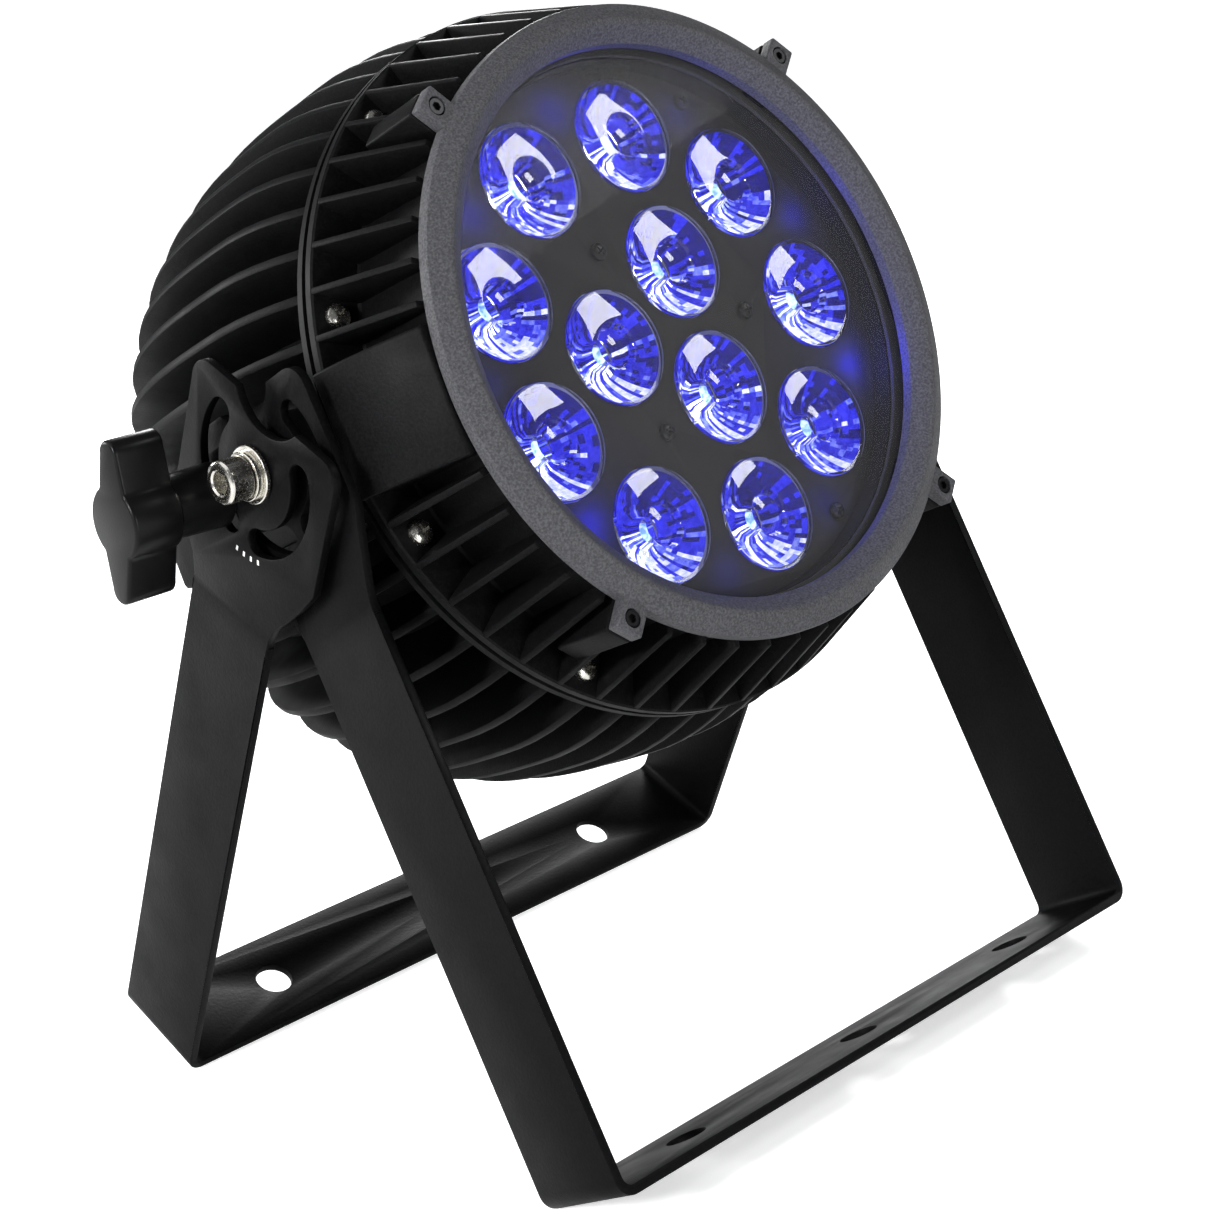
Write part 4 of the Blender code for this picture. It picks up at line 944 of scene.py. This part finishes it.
makePivots()
print("pivots made")

knobSize = {"hub": 10.0, "span": 50.0, "deep": 17.0, "web": 8.5, "boss": 11.5, "wing": 150.175, "turn": 7.7,
            "stem": 4.0, "stemEnd": 102}


def wingOutline():
    # two round-ended wings either side of a round boss
    s = knobSize
    w = s["web"] / 2
    meet = math.degrees(math.asin(w / s["boss"])) + 12
    half = arc(s["span"] / 2 - w, 0, w, -90, 90, 14) + arc(0, 0, s["boss"], meet, 180 - meet, 18)
    return half + [(-x, -y) for x, y in half]


def makeKnobs():
    s = knobSize
    hub, low, high = s["hub"], pivotSize["stack"], s["wing"] + 2
    stemProfile = [(0, s["stemEnd"]), (s["stem"], s["stemEnd"]), (s["stem"], low), (hub - 0.5, low),
                   (hub, low + 0.5), (hub - 0.6, high), (0, high)]
    for side, word in ((-1, "left"), (1, "right")):
        turn = spun(-side * (90 - stand["tilt"] - s["turn"]))
        wings = slab(f"wing_knob_{word}", wingOutline(), s["wing"], s["wing"] + s["deep"], turn)
        soften(wings, 1.1, 3, 40)
        cutWith(wings, turned("stem", stemProfile, 72), "UNION")
        smooth(wings, 32)
        place = headPlace @ alongX(side, -castSize["stud"])
        settle(wings, place, materials["nylon"], f"knob_{word}", "knob_nylon", f"knob_{word}")


makeKnobs()
print("knobs made")


def roundedOblong(middle, wide, high, r):
    # outline of a rounded rectangle about its middle
    cx, cy = middle
    outline = []
    for right, up, start in ((1, 1, 0), (-1, 1, 90), (-1, -1, 180), (1, -1, 270)):
        outline += arc(cx + right * (wide / 2 - r), cy + up * (high / 2 - r), r, start, start + 90, 6)
    return outline


def makeControlPanel():
    # moulded panel with a raised rim, a collar round each button, four screws and a crowned window
    s = backSize
    middle = (0, s["panelY"])
    face = castSize["back"] - s["gap"]
    out = face - s["panelThick"]
    floor = out + 0.9
    windowY, buttonY = s["panelY"] + s["windowUp"], s["panelY"] - s["buttonDown"]
    buttonX = [(i - 1.5) * s["buttonPitch"] for i in range(4)]
    panel = slab("control_bezel", roundedOblong(middle, s["panelWide"], s["panelHigh"], 5), out, face)
    sunk = slab("sunk", roundedOblong(middle, s["panelWide"] - 5, s["panelHigh"] - 5, 3.5), out - 1, floor)
    cutWith(panel, sunk)
    for x in buttonX:
        collar = turned("collar", [(s["button"] + 0.3, out + 0.1), (s["button"] + 1.5, out + 0.1),
                                   (s["button"] + 2.1, floor + 0.1), (s["button"] + 0.3, floor + 0.1)], 40)
        collar.data.transform(shift(x, buttonY))
        cutWith(panel, collar, "UNION")
        cutWith(panel, rod("hole", s["button"] + 0.3, out - 1, face + 1, shift(x, buttonY), 40))
    wide, high = s["windowWide"], s["windowHigh"]
    rim = roundedOblong((0, windowY), wide + 4, high + 4, 2)
    cutWith(panel, slab("frame_rim", rim, out + 0.2, floor + 0.1), "UNION")
    hole = roundedOblong((0, windowY), wide + 0.6, high + 0.6, 0.8)
    cutWith(panel, slab("window_hole", hole, out - 1, face + 1))
    soften(panel, 0.3, 2)
    smooth(panel)
    settle(panel, headPlace, materials["nylon"], "head", "panel_plastic", "control_panel")
    window = slab("window", roundedOblong((0, windowY), wide, high, 0.7), out + 0.15, face + 0.6)
    soften(window, 0.5, 3)
    smooth(window)
    settle(window, headPlace, materials["window"], "head", "window_acrylic", "display_window")
    for i, (right, up) in enumerate(((-1, -1), (-1, 1), (1, -1), (1, 1))):
        screw = panScrew(f"panel_corner_screw_{i + 1}", screwSizes["corner"], 0.05)
        spot = shift(right * s["cornerX"], s["panelY"] + up * s["cornerY"], floor) @ spun(180, "X")
        settle(screw, headPlace @ spot, materials["oxide"], "head", "black_screws")
    r, base, top = s["button"], castSize["back"], out - s["stand"]
    profile = [(0, base + 1), (r + 1, base + 1), (r + 1, base), (r, base), (r, top + 0.9),
               (r - 0.25, top + 0.35), (r - 0.9, top), (r * 0.55, top + 0.15), (r * 0.3, top + 0.35),
               (0, top + 0.4)]
    for i, x in enumerate(buttonX):
        button = smooth(turned(f"push_button_{i + 1}", profile, 40))
        settle(button, headPlace @ shift(x, buttonY), materials["button"], f"button_{i + 1}", "button_rubber",
               f"button_{i + 1}")


def makeSockets():
    # flanged plug inlets with a ribbed collar, a well and three contact pins
    s = backSize
    face = castSize["back"] - s["gap"]
    end = face - s["socketLong"]
    inside = castSize["back"] + castSize["backWall"]
    for name, (x, r) in zip(("power_in", "power_out", "data_in", "data_out"), socketSpots):
        well = r - 3.3
        bottom = end + s["well"]
        profile = [(0, inside + 5), (r - 0.5, inside + 5), (r - 0.5, inside + 0.3), (r - 2, inside + 0.3),
                   (r - 2, face), (r - 0.4, face), (r, face - 0.4), (r, face - 2.6), (r - 0.4, face - 3),
                   (r - 1.9, face - 3), (r - 1.9, end + 0.5), (r - 2.3, end), (well + 0.4, end),
                   (well, end + 0.4), (well, bottom), (0, bottom)]
        socket = turned(f"socket_{name}", profile, 64)
        # 24 ribs round the collar, each two of four corners high
        ribbed = []
        for k in range(96):
            reach = r - 1.5 - 0.45 * (k % 4 > 1)
            ribbed.append((reach * math.cos(math.tau * k / 96), reach * math.sin(math.tau * k / 96)))
        grip = slab("grip", ribbed, end + 2.5, face - 4.5)
        cutWith(grip, rod("bore", r - 2.2, end, face, sides=64))
        cutWith(socket, grip, "UNION")
        cutWith(socket, box("key", (-0.8, well - 0.5, end - 1), (0.8, well + 0.9, bottom - 1)))
        smooth(socket, 32)
        settle(socket, headPlace @ shift(x, s["socketY"]), materials["nylon"], "head", "panel_plastic", name)
        pinProfile = [(0, bottom + 0.5), (0.8, bottom + 0.5), (0.8, end + 2.6), (0.5, end + 2), (0, end + 2)]
        for k in range(3):
            pin = turned(f"pin_{name}_{k + 1}", pinProfile, 20)
            place = headPlace @ shift(x, s["socketY"]) @ spun(30 + 120 * k) @ shift(well * 0.52)
            settle(smooth(pin), place, materials["stainless"], "head", "stainless")


def makeSafetyEye():
    # a closed ring on a shouldered stem, for a safety wire
    s = backSize
    face = castSize["back"] - s["gap"]
    inside = castSize["back"] + castSize["backWall"]
    profile = [(0, inside + 5), (5, inside + 5), (5, inside + 0.3), (3, inside + 0.3), (3, face), (5.6, face),
               (6, face - 0.4), (6, face - 1.6), (5.6, face - 2), (3.4, face - 2.8), (3, face - 3.4),
               (3, face - 6), (0, face - 6)]
    stem = turned("safety_ring", profile, 64)
    deselectAll()
    bpy.ops.mesh.primitive_torus_add(major_radius=s["eye"] * mm, minor_radius=s["eyeRod"] * mm,
                                     major_segments=72, minor_segments=24)
    ring = named("ring")
    ring.data.transform(shift(0, 0, face - 4 - s["eye"]) @ spun(90, "Y"))
    cutWith(stem, ring, "UNION")
    smooth(stem, 40)
    settle(stem, headPlace @ shift(0, s["eyeY"]), materials["stainless"], "head", "stainless", "safety_eye")


makeControlPanel()
makeSockets()
makeSafetyEye()
print("back of the head made")


def makeTicks():
    # a short scale printed on the rear bracket, below the front end of its slot
    s = yokeSize
    low, high = (s["tickR"] - 0.8, -0.45, s["thick"] - 0.1), (s["tickR"] + 0.8, 0.45, s["thick"] + 0.03)
    turns = [math.radians(-90 + s["tickFirst"] - s["tickPitch"] * k) for k in range(4)]
    ticks = [box("tick", low, high, turn) for turn in turns]
    scale = joined(ticks, "tilt_scale")
    scale.data.transform(plateLay(s["rearHalf"], -1))
    settle(scale, outerPlace, materials["ticks"], "outer_yoke", "yoke_coating")


makeTicks()
print("scale made")

# what stays as it is in the frame gets its finish
finishes = {"front_glass": "glass", "glass_seal": "rubber", "seam_gasket": "rubber",
            "led_board": "whiteBoard", "control_board": "greenBoard", "power_supply": "sheet",
            "pivot_spacer_left": "nylon", "pivot_spacer_right": "nylon"}
for node, finish in finishes.items():
    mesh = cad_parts[node].data
    mesh.materials.clear()
    mesh.materials.append(materials[finish])
print("frame nodes dressed")
